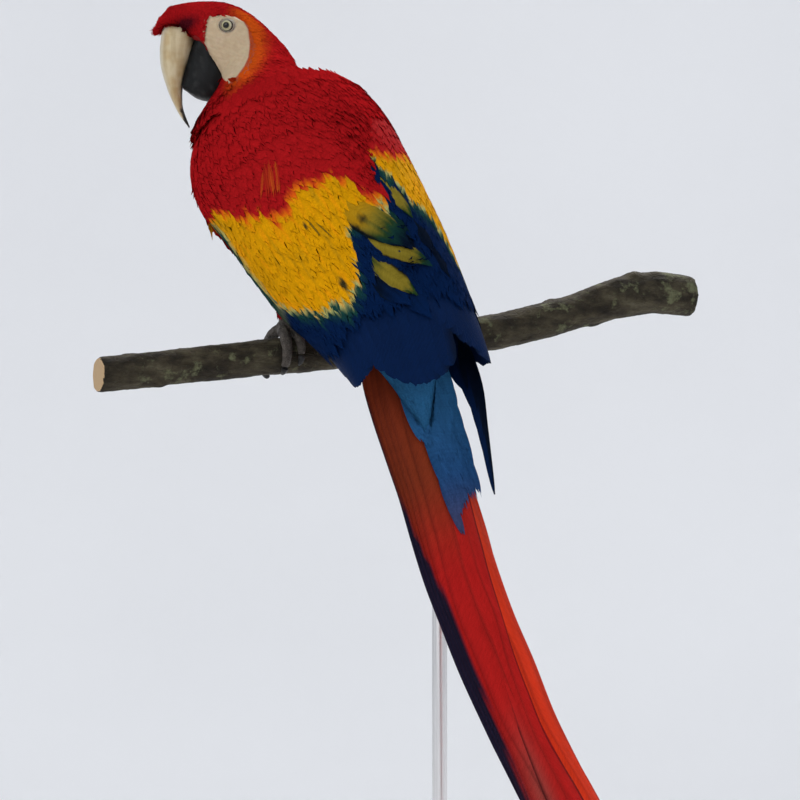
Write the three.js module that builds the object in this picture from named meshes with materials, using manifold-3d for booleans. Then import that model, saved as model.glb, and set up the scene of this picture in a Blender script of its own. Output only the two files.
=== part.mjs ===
// A scarlet macaw perched on a cut length of branch, held up by a plain display stand: a plate and one rod.
// Life size, in millimetres, +Z up. The origin is the centre of the stand's underside.
// The bird faces -Y, its left side is +X, and its head is turned to its left.

import * as THREE from "three";
import { mergeVertices } from "three/addons/utils/BufferGeometryUtils.js";
import Module from "manifold-3d";

const wasm = await Module();
wasm.setup();

// ---------------------------------------------------------------- driving dimensions

const GAP = 0.35; // clearance where two pieces meet
const CUT = 0.4; // width of the cuts that part the body
const PERCH_HEIGHT = 515; // height of the branch's axis where the bird grips it
const BODY_OVER_PERCH = 105; // trunk centre above the branch's axis
const BODY_BEHIND_PERCH = 6;
const PITCH = THREE.MathUtils.degToRad(35); // trunk leans forward from upright
const ROLL = THREE.MathUtils.degToRad(10); // trunk leans to the bird's left
const HEAD_TURN = THREE.MathUtils.degToRad(52); // head is turned to the left

// Trunk and neck, in the bird's own frame: X left, Y towards the back, Z up the spine from the
// trunk's centre.
// Each row: height up the spine, half width, half depth, shift to the left, shift towards the back.
const TRUNK = [
  [-200, 3, 2, 2, -27],
  [-186, 9, 6, 2, -20],
  [-168, 17, 12, 1, -11],
  [-145, 27, 20, 0, -3],
  [-115, 40, 30, -2, 4],
  [-80, 53, 42, -3, 7],
  [-40, 64, 58, -1, 3],
  [10, 70.5, 68.5, 1.5, -1],
  [52, 74, 73, 2.5, -2],
  [84, 71.5, 71.5, 1.5, -1.5],
  [101, 64.5, 64.5, 2.5, -2.5],
  [122, 54, 54, 8.5, -6.5],
  [145, 35, 35.5, -2, 0.5],
  [158, 31.5, 32, -5.5, 4.2],
  [168, 22, 22, -9.5, 8.5],
];
const NECK_TOP = 136; // height of the cut between head and neck
const NECK_BASE = 92; // height of the cut between neck and trunk

// The surface that the folded wings' feathers lie on. Rows as for the trunk.
const CLOAK = [
  [101, 74.5, 73, 3.5, -2.5],
  [84, 81, 77.5, 3.5, -2.5],
  [55, 85, 80.5, 2.8, -2.2],
  [20, 81, 79, 0.8, -0.6],
  [-20, 78.8, 74.2, 0.2, -0.2],
  [-60, 75, 67, -1, 1],
  [-100, 69, 55, -3.4, 1.6],
  [-140, 66, 41, -5, 0],
  [-172, 62, 28, -6, -5],
  [-205, 56, 20, -4, -14],
  [-258, 50, 14, 0, -34],
];

// Eyes, in the head's frame: X left, -Y forwards, Z up, from the point midway between them.
const EYES_OVER_BODY = new THREE.Vector3(30, -100, 161); // from the trunk's centre, before leaning
const EYE_RADIUS = 6.2;
const EYE_OUT = 21.4;

// Tail: its line leaves the trunk at this height and droops, then lifts again towards the tips.
const TAIL_ROOT = -112;
const TAIL_LENGTH = 545;
const TAIL_DROOP = 0.33;
const TAIL_LIFT = 0.000335;
const TAIL_SIDEWAYS = -0.014;
const TAIL_RETURN = -0.0001;
const TAIL_ARCH = 0.011; // how fast the folded tail falls away to each side
const TAIL_GATHER = 90; // the feathers spread over this length from the root
const RECTRIX_PAIRS = 5;
const RECTRIX_STEP = 3.1; // each pair lies this much further out
const RECTRIX_DROP = 1.5; // and this much lower
const RECTRIX_SHORTER = 0.06; // and is this share shorter
// The left half stands out by this much where it leaves the wing's point.
const TAIL_SPLAY = { reach: 12, starts: [60, 125], ends: [150, 235], beyond: 8 };
// The fan opens by this share towards its lower end and closes again at its point.
const TAIL_OPENS = { share: 0.45, starts: [365, 450], ends: [460, 540], closes: 0.7 };
const COVERT_LENGTH = 215;

// Branch: rows of distance along it towards the bird's right, rise, and radius.
const BRANCH = [
  [-190, -23, 14.4],
  [-105, -12, 14.6],
  [-55, -5.7, 14.8],
  [0, 1, 15],
  [70, 9.5, 15],
  [142, 20.6, 15.2],
  [204, 36, 15.4],
  [240, 48, 16.6],
  [272, 58, 18.6],
  [296, 58.5, 17.6],
  [322, 56.5, 17],
];
const BRANCH_TURN = THREE.MathUtils.degToRad(-12); // branch's line from the bird's own cross line
const FOOT_APART = 34; // each foot from the middle, along the branch
const ANKLE = 15; // ankle's centre above the bark
const ANKLE_BACK = 8; // degrees round the branch
const SOLE = 6.2; // the foot's middle above the bark
const TOE_TAPER = 0.86;
const TOE_OFF_BARK = 0.8;

const BASE_LENGTH = 340; // along the branch
const BASE_WIDTH = 230;
const BASE_CORNER = 24;
const BASE_THICK = 10;
const BASE_EDGE = 2; // bevel
const ROD_ALONG = 98; // the rod stands this far along the branch, to the bird's right
const ROD_RADIUS = 6;
const COLLAR_RADIUS = 14;
const COLLAR_HEIGHT = 16;

// ---------------------------------------------------------------- materials

const material = (color, roughness, metalness = 0) =>
  new THREE.MeshStandardMaterial({ color, roughness, metalness });
const scarlet = material(0xb3161c, 0.75);
const wingBlue = material(0x14306e, 0.6);
const tailRed = material(0xb82318, 0.65);
const horn = material(0xe2d3b4, 0.35);
const blackHorn = material(0x1c1b1a, 0.35);
const eyeGlass = material(0xd8d6a8, 0.08);
const footSkin = material(0x57534e, 0.7);
const bark = material(0x6b6252, 0.9);
const steel = material(0x9a9c9e, 0.35, 0.9);
const blackPaint = material(0x232425, 0.5, 0.3);

// ---------------------------------------------------------------- solids and curves

// A geometry as a solid, whichever way its faces were wound.
function solid(geometry) {
  const bare = geometry.clone();
  bare.deleteAttribute("normal");
  bare.deleteAttribute("uv");
  const merged = mergeVertices(bare, 1e-4);
  const corners = new Uint32Array(merged.index.array);
  const points = merged.getAttribute("position").array;
  const made = new wasm.Manifold(new wasm.Mesh({ numProp: 3, vertProperties: points, triVerts: corners }));
  if (made.volume() > 0) return made;
  for (let i = 0; i < corners.length; i += 3) {
    [corners[i + 1], corners[i + 2]] = [corners[i + 2], corners[i + 1]];
  }
  return new wasm.Manifold(new wasm.Mesh({ numProp: 3, vertProperties: points, triVerts: corners }));
}

// A primitive whose points are each moved by place(point), as a solid.
function shaped(geometry, place) {
  const position = geometry.getAttribute("position");
  const point = new THREE.Vector3();
  for (let i = 0; i < position.count; i++) {
    place(point.fromBufferAttribute(position, i));
    position.setXYZ(i, point.x, point.y, point.z);
  }
  return solid(geometry);
}

function toGeometry(made) {
  const mesh = made.getMesh();
  const positions = new Float32Array(mesh.numVert * 3);
  for (let i = 0; i < mesh.numVert; i++) {
    positions.set(mesh.vertProperties.subarray(i * mesh.numProp, i * mesh.numProp + 3), i * 3);
  }
  const geometry = new THREE.BufferGeometry();
  geometry.setAttribute("position", new THREE.BufferAttribute(positions, 3));
  geometry.setIndex(new THREE.BufferAttribute(new Uint32Array(mesh.triVerts), 1));
  geometry.computeVertexNormals();
  return geometry;
}

const moved = (made, matrix) => solid(toGeometry(made).applyMatrix4(matrix));
const largest = (made) => made.decompose().sort((a, b) => b.volume() - a.volume())[0];
const joined = (solids) => solids.reduce((whole, next) => whole.add(next));

function addMesh(group, name, made, look) {
  const mesh = new THREE.Mesh(toGeometry(largest(made)), look);
  mesh.name = name;
  group.add(mesh);
  return mesh;
}

// The values of a table's rows at t, on a smooth curve through them.
function valuesAt(rows, t) {
  const last = rows.length - 1;
  const rising = rows[last][0] > rows[0][0];
  const ends = [rows[0][0], rows[last][0]];
  const held = THREE.MathUtils.clamp(t, Math.min(...ends), Math.max(...ends));
  const reaches = (row) => (rising ? held <= row[0] : held >= row[0]);
  let i = rows.findIndex((row, n) => n < last && reaches(rows[n + 1]));
  if (i < 0) i = last - 1;
  const [a, b] = [rows[i], rows[i + 1]];
  const span = b[0] - a[0];
  const s = (held - a[0]) / span;
  const slope = (n, column) => {
    const [before, after] = [rows[Math.max(n - 1, 0)], rows[Math.min(n + 1, last)]];
    return (after[column] - before[column]) / (after[0] - before[0]);
  };
  return a.slice(1).map((start, k) => {
    const column = k + 1;
    const [m0, m1] = [slope(i, column) * span, slope(i + 1, column) * span];
    const [s2, s3] = [s * s, s * s * s];
    const between = (2 * s3 - 3 * s2 + 1) * start + (3 * s2 - 2 * s3) * b[column];
    return between + (s3 - 2 * s2 + s) * m0 + (s3 - s2) * m1;
  });
}

// A point on a table's oval section: angle 0 is the back, and 90 degrees the bird's left.
function onSection(rows, height, angle, outwards = 0) {
  const [halfWidth, halfDepth, left, back] = valuesAt(rows, height);
  return new THREE.Vector3(
    left + (halfWidth + outwards) * Math.sin(angle),
    back + (halfDepth + outwards) * Math.cos(angle),
    height,
  );
}

const degrees = (value) => THREE.MathUtils.degToRad(value);
const mix = THREE.MathUtils.lerp;

// ---------------------------------------------------------------- frames

const birdMatrix = new THREE.Matrix4().makeRotationFromEuler(new THREE.Euler(PITCH, ROLL, 0, "YXZ"));
const bodyCentre = new THREE.Vector3(0, BODY_BEHIND_PERCH, PERCH_HEIGHT + BODY_OVER_PERCH);
birdMatrix.setPosition(bodyCentre);

const headWorld = new THREE.Matrix4().makeRotationZ(HEAD_TURN);
headWorld.setPosition(bodyCentre.clone().add(EYES_OVER_BODY));
const headInBird = birdMatrix.clone().invert().multiply(headWorld);

const perchMatrix = new THREE.Matrix4().makeRotationZ(BRANCH_TURN);
perchMatrix.setPosition(0, 0, PERCH_HEIGHT);
const perchInBird = birdMatrix.clone().invert().multiply(perchMatrix);

function framed(matrix) {
  const group = new THREE.Group();
  group.applyMatrix4(matrix);
  return group;
}

// ---------------------------------------------------------------- trunk, neck and head

function trunkSolid(margin = 0) {
  const [low, high] = [TRUNK[0][0] - margin, TRUNK[TRUNK.length - 1][0]];
  return shaped(new THREE.CylinderGeometry(1, 1, 1, 20, 16), (p) => {
    const height = mix(low, high, p.y + 0.5);
    const [halfWidth, halfDepth, left, back] = valuesAt(TRUNK, height);
    p.set(left + (halfWidth + margin) * p.x, back - (halfDepth + margin) * p.z, height);
  });
}

// Profile of the head: distance ahead of the eyes, top, underside, half width.
const HEAD = [
  [-52, -22, -38, 9],
  [-42, -9, -48, 19],
  [-29, 4, -52, 24],
  [-18, 13.5, -54, 27],
  [-5, 21, -55, 28.5],
  [5, 23.9, -45, 28.5],
  [14, 24.7, -30, 27.5],
  [22, 24.7, -17, 25.5],
  [32, 24, -9, 22.5],
  [43, 22, -3.5, 19.5],
  [52, 18.8, -0.5, 16],
  [61, 10.5, -4.5, 8.5],
];

// The feathered head: a low flat crown, a forehead that juts over the bill, and full cheeks.
function headSolid() {
  const [rear, front] = [HEAD[0][0], HEAD[HEAD.length - 1][0]];
  return shaped(new THREE.CylinderGeometry(1, 1, 1, 14, 12), (p) => {
    const ahead = mix(rear, front, p.y + 0.5);
    const [top, underside, halfWidth] = valuesAt(HEAD, ahead);
    p.set(halfWidth * p.x, -ahead, (top + underside) / 2 + ((top - underside) / 2) * p.z);
  });
}

// ---------------------------------------------------------------- bill

// A horn shape between two profile curves, given as forward and up from the eyes.
function hornSolid(upper, lower, halfWidths, margin) {
  const curve = (points) => new THREE.SplineCurve(points.map(([ahead, up]) => new THREE.Vector2(ahead, up)));
  const [top, bottom] = [curve(upper), curve(lower)];
  return shaped(new THREE.CylinderGeometry(1, 1, 1, 10, 8), (p) => {
    const t = THREE.MathUtils.clamp(p.y + 0.5, 0, 1);
    const [a, b] = [top.getPoint(t), bottom.getPoint(t)];
    const middle = a.clone().add(b).multiplyScalar(0.5);
    const half = a.clone().sub(b).multiplyScalar(0.5);
    const size = Math.max(half.length(), 0.3);
    middle.addScaledVector(half, (-p.z * (size + margin)) / size);
    const [halfWidth] = valuesAt(halfWidths, t);
    p.set((halfWidth + margin) * p.x, -middle.x, middle.y);
  });
}

const upperBill = (margin = 0) =>
  hornSolid(
    [
      [50, 8], [54.6, 0], [56.4, -12], [56.4, -24], [54.2, -36],
      [50.2, -48.5], [45.8, -59], [40.6, -68.5], [32.8, -79.5],
    ],
    [
      [22, 0], [27, -6.5], [30.5, -15], [33.5, -26], [36, -36],
      [37.9, -45], [38.4, -54], [37.4, -64.5], [32.2, -78.2],
    ],
    [[0, 14.5], [0.35, 13.5], [0.6, 10.5], [0.8, 6], [1, 0.8]],
    margin,
  );

const lowerBill = (margin = 0) =>
  hornSolid(
    [[22, 0], [29, -8], [33, -20], [36, -31], [38.4, -40], [39, -44]],
    [[12, -14], [4, -28], [-1.5, -43], [9, -56.5], [24, -56.5], [37.4, -48]],
    [[0, 13], [0.4, 14.5], [0.7, 12.5], [1, 8]],
    margin,
  );

const eyeball = (side, margin = 0) =>
  shaped(new THREE.SphereGeometry(EYE_RADIUS + margin, 10, 7), (p) => {
    p.x += side * EYE_OUT;
  });

// ---------------------------------------------------------------- tail

// The tail's middle line, by distance down from its root, with its unit vectors.
function tailFrame(q) {
  const at = (s) =>
    new THREE.Vector3((TAIL_SIDEWAYS - TAIL_RETURN * s) * s, (TAIL_LIFT * s - TAIL_DROOP) * s, TAIL_ROOT - s);
  const along = at(q + 1).sub(at(q - 1)).normalize();
  const back = new THREE.Vector3(0, 1, 0).addScaledVector(along, -along.y).normalize();
  const left = new THREE.Vector3().crossVectors(back, along).normalize();
  return { point: at(q), back, left };
}

// How much wider the fan is at a distance down the tail.
function tailOpening(run) {
  const { share, starts, ends, closes } = TAIL_OPENS;
  const closing = closes * THREE.MathUtils.smoothstep(run, ...ends);
  return 1 + share * THREE.MathUtils.smoothstep(run, ...starts) * (1 - closing);
}

// How far a feather of the left half stands out below the wing's point.
function tailSplay(offset, run) {
  const { reach, starts, ends, beyond } = TAIL_SPLAY;
  if (offset > -beyond) return 0;
  return reach * THREE.MathUtils.smoothstep(run, ...starts) * (1 - THREE.MathUtils.smoothstep(run, ...ends));
}

// A shallow arched blade down the tail. Each row of its form: part of its length, half width, half
// thickness.
function tailBlade(length, offset, lifted, form) {
  return shaped(new THREE.CylinderGeometry(1, 1, 1, 4, 6), (p) => {
    const t = 1 - (0.5 - p.y) ** 1.4;
    const run = length * t;
    const { point, back, left } = tailFrame(run);
    const [halfWidth, halfThick] = valuesAt(form, t);
    const spread = THREE.MathUtils.smoothstep(run, 0, TAIL_GATHER);
    const across = (offset * mix(0.5, 1, spread) + halfWidth * p.x) * tailOpening(run) - tailSplay(offset, run);
    const lift = lifted - TAIL_ARCH * across * across - halfThick * p.z;
    p.copy(point).addScaledVector(left, across).addScaledVector(back, lift);
  });
}

// Long tail feathers, in pairs from the middle outwards, each shorter and lower than the last.
function rectrix(side, rank) {
  const length = TAIL_LENGTH * (1 - RECTRIX_SHORTER * rank);
  const lower = RECTRIX_DROP * rank + (side > 0 ? 0 : RECTRIX_DROP / 2);
  return tailBlade(length, side * (7 + RECTRIX_STEP * rank), -lower, [
    [0, 6, 1.4],
    [0.12, 11, 1.2],
    [0.45, 13.8, 1],
    [0.8, 13, 0.9],
    [0.93, 9.5, 0.8],
    [1, 3, 0.6],
  ]);
}

// Upper coverts: two soft blades that lie on the tail's base.
const covert = (side) => tailBlade(COVERT_LENGTH, side * 9, 3.2, [
  [0, 12, 5],
  [0.5, 16, 3.5],
  [0.85, 12, 1.8],
  [1, 4, 0.8],
]);

function tailSolid() {
  const blades = [covert(1), covert(-1)];
  for (const side of [1, -1]) {
    for (let rank = 0; rank < RECTRIX_PAIRS; rank++) blades.push(rectrix(side, rank));
  }
  return joined(blades);
}

// ---------------------------------------------------------------- wings

// The edges of a folded wing round the cloak, in degrees from the back, by height.
const WING_EDGES = [
  [101, 62, 86],
  [84, 36, 108],
  [55, 18, 124],
  [20, 7, 128],
  [-20, 3, 128],
  [-60, 1.5, 125],
  [-100, 1, 120],
  [-140, 1, 114],
  [-190, 4, 104],
];

// Height that the secondaries reach, from the wing's inner edge to its outer edge. The right wing's
// inner ones are drawn up.
const LEFT_TIPS = [
  [0, -166],
  [0.12, -182],
  [0.3, -184],
  [0.5, -175],
  [0.7, -162],
  [0.85, -153],
  [1, -112],
];
const RIGHT_TIPS = [
  [0, -142],
  [0.12, -150],
  [0.3, -163],
  [0.42, -169],
  [0.55, -168],
  [0.7, -162],
  [0.85, -153],
  [1, -112],
];
const SECONDARIES = 5;
const NOTCH = 8; // between the tips of neighbouring feathers
const OFF_BODY = 1.3; // from the trunk's surface to the underside of the wing
const PRIMARY_TOP = -80; // height where the primaries come out from under the secondaries
const PRIMARY_THICK = 1.8;
const TUCK_FROM = 95; // a tucked primary starts to leave the cloak this far below the trunk's centre
const TUCK_TO = 150;
const TUCK_DEPTH = 12; // under the tail's middle line

// Arm, coverts and secondaries of a folded wing, as one curved shell that thins to its scalloped
// lower edge.
function wingShell(side) {
  const high = WING_EDGES[0][0];
  return shaped(new THREE.BoxGeometry(1, 1, 1, 3 * SECONDARIES, 8, 1), (p) => {
    const [u, v] = [0.5 - p.y, p.x + 0.5];
    const [reach] = valuesAt(side > 0 ? LEFT_TIPS : RIGHT_TIPS, v);
    const low = reach + NOTCH * Math.abs(Math.cos(Math.PI * SECONDARIES * v)) ** 3;
    const height = mix(high, low, u);
    const [inner, outer] = valuesAt(WING_EDGES, height);
    const angle = side * degrees(mix(inner, outer, v));
    const rim = 1 - Math.sqrt(Math.max(4 * v * (1 - v), 0));
    const outside = onSection(CLOAK, height, angle, -1.4 * rim);
    if (p.z > 0) {
      p.copy(outside);
      return;
    }
    const onBody = onSection(TRUNK, height, angle, OFF_BODY);
    const thin = onSection(CLOAK, height, angle, mix(-3.8, -2.4, u) - 0.6 * rim);
    p.copy(onBody).lerp(thin, THREE.MathUtils.smoothstep(-height, 45, 100));
  });
}

// A primary that lies round the cloak. A tucked one leaves the cloak for the tail's underside
// towards its tip.
function primary(side, { root, tip, reach, half, layer, tucked = 0 }) {
  return shaped(new THREE.CylinderGeometry(1, 1, 1, 4, 6), (p) => {
    const [t, x, z] = [1 - (0.5 - p.y) ** 1.5, p.x, p.z];
    const height = mix(PRIMARY_TOP, reach, t);
    const angle = degrees(mix(root, tip, t * t * (3 - 2 * t)));
    const taper = Math.sqrt(Math.max(1 - THREE.MathUtils.clamp(2 * t - 1, 0, 1) ** 2, 0.02));
    const [halfWidth] = valuesAt(CLOAK, height);
    const across = half * taper * mix(0.6, 1, Math.min(t * 3, 1)) * x;
    const round = side * (angle + across / Math.max(halfWidth, 40));
    p.copy(onSection(CLOAK, height, round, layer - (PRIMARY_THICK / 2) * z));
    if (tucked) {
      const { point, back, left } = tailFrame(TAIL_ROOT - height);
      point.addScaledVector(left, side * (tucked - across));
      point.addScaledVector(back, (PRIMARY_THICK / 2) * z - TUCK_DEPTH);
      p.lerp(point, THREE.MathUtils.smoothstep(-height, TUCK_FROM, TUCK_TO));
    }
  });
}

// The left wing's point is tucked under the tail, and the right wing's stands clear beside it.
function wingSolid(side) {
  const points = side > 0
    ? [{ root: 106, tip: 122, reach: -250, half: 10, layer: -4, tucked: 12 }]
    : [
      { root: 106, tip: 122, reach: -200, half: 15, layer: -4 },
      { root: 106, tip: 114, reach: -256, half: 14, layer: -5.4 },
    ];
  return joined([wingShell(side), ...points.map((point) => primary(side, point))]);
}

// ---------------------------------------------------------------- legs, feet and claws

// A tapering tube through points, in the frame they are given in.
function tube(points, radii, sides = 7, steps = 6, margin = 0) {
  const curve = new THREE.CatmullRomCurve3(points.map((point) => new THREE.Vector3(...point)));
  const frames = curve.computeFrenetFrames(steps, false);
  const rows = radii.map((radius, i) => [i / (radii.length - 1), radius]);
  return shaped(new THREE.CylinderGeometry(1, 1, 1, sides, steps), (p) => {
    const t = THREE.MathUtils.clamp(p.y + 0.5, 0, 1);
    const ring = Math.round(t * steps);
    const [radius] = valuesAt(rows, t);
    const [x, z] = [p.x * (radius + margin), p.z * (radius + margin)];
    p.copy(curve.getPoint(t)).addScaledVector(frames.normals[ring], x);
    p.addScaledVector(frames.binormals[ring], z);
  });
}

const branchAt = (s) => {
  const [rise, radius] = valuesAt(BRANCH, s);
  return { rise, radius };
};

// Toes in the perch's frame. Angle 0 is the branch's top, and positive angles go down behind it.
const TOES = [
  { name: "inner_front", spread: 6, start: -14, end: -96, radius: 4.6, sway: 4 },
  { name: "outer_front", spread: -6, start: -14, end: -122, radius: 4.9, sway: -5 },
  { name: "inner_back", spread: 5, start: 14, end: 92, radius: 4.5, sway: 1 },
  { name: "outer_back", spread: -5, start: 14, end: 118, radius: 4.8, sway: -2 },
];

// A point beside the branch: along it, round it and out from its bark. The frame's X runs to the
// bird's left.
function roundBranch(along, angle, out) {
  const { rise, radius } = branchAt(-along);
  const reach = radius + out;
  return [along, reach * Math.sin(degrees(angle)), rise + reach * Math.cos(degrees(angle))];
}

function toePath(side, toe) {
  const points = [];
  for (let i = 0; i <= 4; i++) {
    const t = i / 4;
    const along = side * (FOOT_APART - toe.spread - toe.sway * t);
    const out = toe.radius * mix(1, TOE_TAPER, t) + TOE_OFF_BARK;
    points.push(roundBranch(along, mix(toe.start, toe.end, t), out));
  }
  return points;
}

function footSolid(side) {
  const ankle = roundBranch(side * FOOT_APART, ANKLE_BACK, ANKLE);
  const sole = roundBranch(side * FOOT_APART, 0, SOLE);
  const parts = [tube([sole, [ankle[0], ankle[1] - 1, (ankle[2] + sole[2]) / 2], ankle], [8, 7, 6.4], 8, 3)];
  for (const toe of TOES) {
    const r = toe.radius;
    parts.push(tube([sole, ...toePath(side, toe)], [r, r, r * 0.98, r * 0.9, r * 0.8, r * 0.7], 6, 7));
  }
  return joined(parts);
}

// Claws start a hair's breadth beyond the toes' ends.
function clawSolid(side, toe) {
  const along = side * (FOOT_APART - toe.spread - toe.sway);
  const turn = Math.sign(toe.end);
  const out = toe.radius * TOE_TAPER + TOE_OFF_BARK;
  const clear = THREE.MathUtils.radToDeg((4 * GAP) / (branchAt(FOOT_APART).radius + out));
  const points = [[clear, out], [12, out - 0.2], [24, out - 1.8], [34, 0.7]]
    .map(([turned, lift]) => roundBranch(along, toe.end + turn * turned, lift));
  return tube(points, [toe.radius * 0.6, 2.5, 1.6, 0.45], 6, 5);
}

// Feathered thigh, from inside the belly down to the ankle, in the bird's frame.
function thighSolid(side, margin = 0) {
  const ankle = new THREE.Vector3(...roundBranch(side * FOOT_APART, ANKLE_BACK, ANKLE - 3));
  ankle.applyMatrix4(perchInBird);
  const hip = new THREE.Vector3(side * 24, -22, -20);
  const knee = hip.clone().lerp(ankle, 0.6).add(new THREE.Vector3(0, -5, 0));
  return tube([hip.toArray(), knee.toArray(), ankle.toArray()], [24, 17, 8.4], 12, 5, margin);
}

// ---------------------------------------------------------------- branch and stand

function branchSolid() {
  const [start, end] = [BRANCH[0][0], BRANCH[BRANCH.length - 1][0]];
  return shaped(new THREE.CylinderGeometry(1, 1, 1, 12, 15), (p) => {
    const s = mix(start, end, p.y + 0.5);
    const { rise, radius } = branchAt(s);
    const y = radius * p.x;
    p.set(-s, y, rise + radius * p.z);
  });
}

function turned(profile, segments) {
  const points = profile.map(([r, z]) => new THREE.Vector2(r, z));
  return solid(new THREE.LatheGeometry(points, segments).rotateX(Math.PI / 2));
}

// The stand's pieces are in the perch's frame, turned with the branch. Their Z is measured from the floor.
function rodSolid(margin = 0) {
  const [low, high] = [BASE_THICK + GAP - margin, PERCH_HEIGHT + branchAt(ROD_ALONG).rise - 4];
  return turned([[0, low], [ROD_RADIUS + margin, low], [ROD_RADIUS + margin, high], [0, high]], 20);
}

function baseSolid() {
  const [x, y, r] = [BASE_LENGTH / 2, BASE_WIDTH / 2, BASE_CORNER];
  const outline = new THREE.Shape();
  outline.moveTo(-x + r, -y).lineTo(x - r, -y).absarc(x - r, -y + r, r, -Math.PI / 2, 0);
  outline.lineTo(x, y - r).absarc(x - r, y - r, r, 0, Math.PI / 2);
  outline.lineTo(-x + r, y).absarc(-x + r, y - r, r, Math.PI / 2, Math.PI);
  outline.lineTo(-x, -y + r).absarc(-x + r, -y + r, r, Math.PI, Math.PI * 1.5);
  const plate = new THREE.ExtrudeGeometry(outline, {
    depth: BASE_THICK - 2 * BASE_EDGE,
    curveSegments: 4,
    bevelThickness: BASE_EDGE,
    bevelSize: BASE_EDGE,
    bevelOffset: -BASE_EDGE,
    bevelSegments: 1,
  });
  return solid(plate.translate(0, 0, BASE_EDGE));
}

function collarSolid() {
  const [inside, low] = [ROD_RADIUS + GAP, BASE_THICK + GAP];
  const high = low + COLLAR_HEIGHT;
  const outside = [[COLLAR_RADIUS, low], [COLLAR_RADIUS, high - 2], [COLLAR_RADIUS - 2, high]];
  return turned([[inside, low], ...outside, [inside, high], [inside, low]], 24);
}

// ---------------------------------------------------------------- the whole object

const root = new THREE.Group();
const bird = framed(birdMatrix);
const headGroup = framed(headInBird);
const perchGroup = framed(perchMatrix);
root.add(bird, perchGroup);
bird.add(headGroup);

// Flesh and plumage of the body are one form, parted by thin cuts across the spine.
const cutAcross = (height, tilt = 0) => {
  const slab = new THREE.BoxGeometry(400, 400, CUT).rotateX(tilt).translate(0, 0, height);
  return solid(slab);
};
const skull = moved(headSolid(), headInBird);
const sockets = joined([upperBill(GAP), lowerBill(GAP), eyeball(1, GAP), eyeball(-1, GAP)]);
const body = trunkSolid().add(skull).subtract(moved(sockets, headInBird))
  .subtract(cutAcross(NECK_BASE)).subtract(cutAcross(NECK_TOP, degrees(-14)));
const [head, neck, trunk] = body.decompose().filter((piece) => piece.volume() > 500)
  .sort((a, b) => b.boundingBox().max[2] - a.boundingBox().max[2]);
addMesh(bird, "head", head, scarlet);
addMesh(headGroup, "bill_upper", upperBill(), horn);
addMesh(headGroup, "bill_lower", lowerBill().subtract(upperBill(GAP)), blackHorn);
addMesh(headGroup, "eye_left", eyeball(1), eyeGlass);
addMesh(headGroup, "eye_right", eyeball(-1), eyeGlass);
addMesh(bird, "neck", neck, scarlet);
addMesh(bird, "trunk", trunk, scarlet);

const tail = tailSolid().subtract(trunkSolid(GAP));
addMesh(bird, "tail", tail, tailRed);
for (const [side, name] of [[1, "left"], [-1, "right"]]) {
  const underneath = trunkSolid(GAP).add(thighSolid(side, GAP));
  addMesh(bird, `wing_${name}`, wingSolid(side).subtract(underneath), wingBlue);
}

const birdToPerch = perchInBird.clone().invert();
for (const [side, name] of [[1, "left"], [-1, "right"]]) {
  const bodyOverFoot = moved(thighSolid(side, GAP).add(trunkSolid(GAP)), birdToPerch);
  addMesh(bird, `thigh_${name}`, thighSolid(side).subtract(trunkSolid(GAP)), scarlet);
  addMesh(perchGroup, `foot_${name}`, footSolid(side).subtract(bodyOverFoot), footSkin);
  for (const toe of TOES) addMesh(perchGroup, `claw_${name}_${toe.name}`, clawSolid(side, toe), blackHorn);
}

const standMatrix = new THREE.Matrix4().makeRotationZ(BRANCH_TURN);
const rodMatrix = standMatrix.clone().multiply(new THREE.Matrix4().makeTranslation(-ROD_ALONG, 0, 0));
const standGroup = framed(standMatrix);
const rodGroup = framed(rodMatrix);
root.add(standGroup, rodGroup);
const rodInPerch = perchMatrix.clone().invert().multiply(rodMatrix);
addMesh(perchGroup, "perch_branch", branchSolid().subtract(moved(rodSolid(GAP), rodInPerch)), bark);
addMesh(standGroup, "stand_base", baseSolid(), blackPaint);
addMesh(rodGroup, "stand_rod", rodSolid(), steel);
addMesh(rodGroup, "stand_collar", collarSolid(), blackPaint);

export default root;
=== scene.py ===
import math

import bpy
import numpy as np
from mathutils import Matrix, Vector


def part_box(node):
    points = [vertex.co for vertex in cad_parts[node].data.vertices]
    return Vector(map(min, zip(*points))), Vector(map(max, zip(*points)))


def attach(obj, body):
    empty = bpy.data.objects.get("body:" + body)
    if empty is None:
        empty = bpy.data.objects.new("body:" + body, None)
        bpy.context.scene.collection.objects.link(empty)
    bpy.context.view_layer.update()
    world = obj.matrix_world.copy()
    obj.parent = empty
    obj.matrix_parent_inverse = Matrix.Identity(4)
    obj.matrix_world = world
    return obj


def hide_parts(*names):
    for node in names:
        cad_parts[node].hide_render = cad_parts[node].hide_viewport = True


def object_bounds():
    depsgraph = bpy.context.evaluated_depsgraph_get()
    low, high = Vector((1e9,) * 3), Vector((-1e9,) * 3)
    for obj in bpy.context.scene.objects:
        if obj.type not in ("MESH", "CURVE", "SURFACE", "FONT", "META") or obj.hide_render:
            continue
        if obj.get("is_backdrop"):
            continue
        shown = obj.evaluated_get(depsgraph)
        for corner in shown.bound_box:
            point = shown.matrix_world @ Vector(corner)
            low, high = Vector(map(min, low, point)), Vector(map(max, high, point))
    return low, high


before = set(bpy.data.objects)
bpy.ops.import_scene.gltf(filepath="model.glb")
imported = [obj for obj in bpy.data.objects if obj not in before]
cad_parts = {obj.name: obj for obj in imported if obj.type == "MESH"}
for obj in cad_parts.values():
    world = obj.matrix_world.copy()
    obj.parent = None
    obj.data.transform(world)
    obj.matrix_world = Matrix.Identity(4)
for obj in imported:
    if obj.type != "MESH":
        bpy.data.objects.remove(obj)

cad_box = [list(corner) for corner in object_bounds()]

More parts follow.
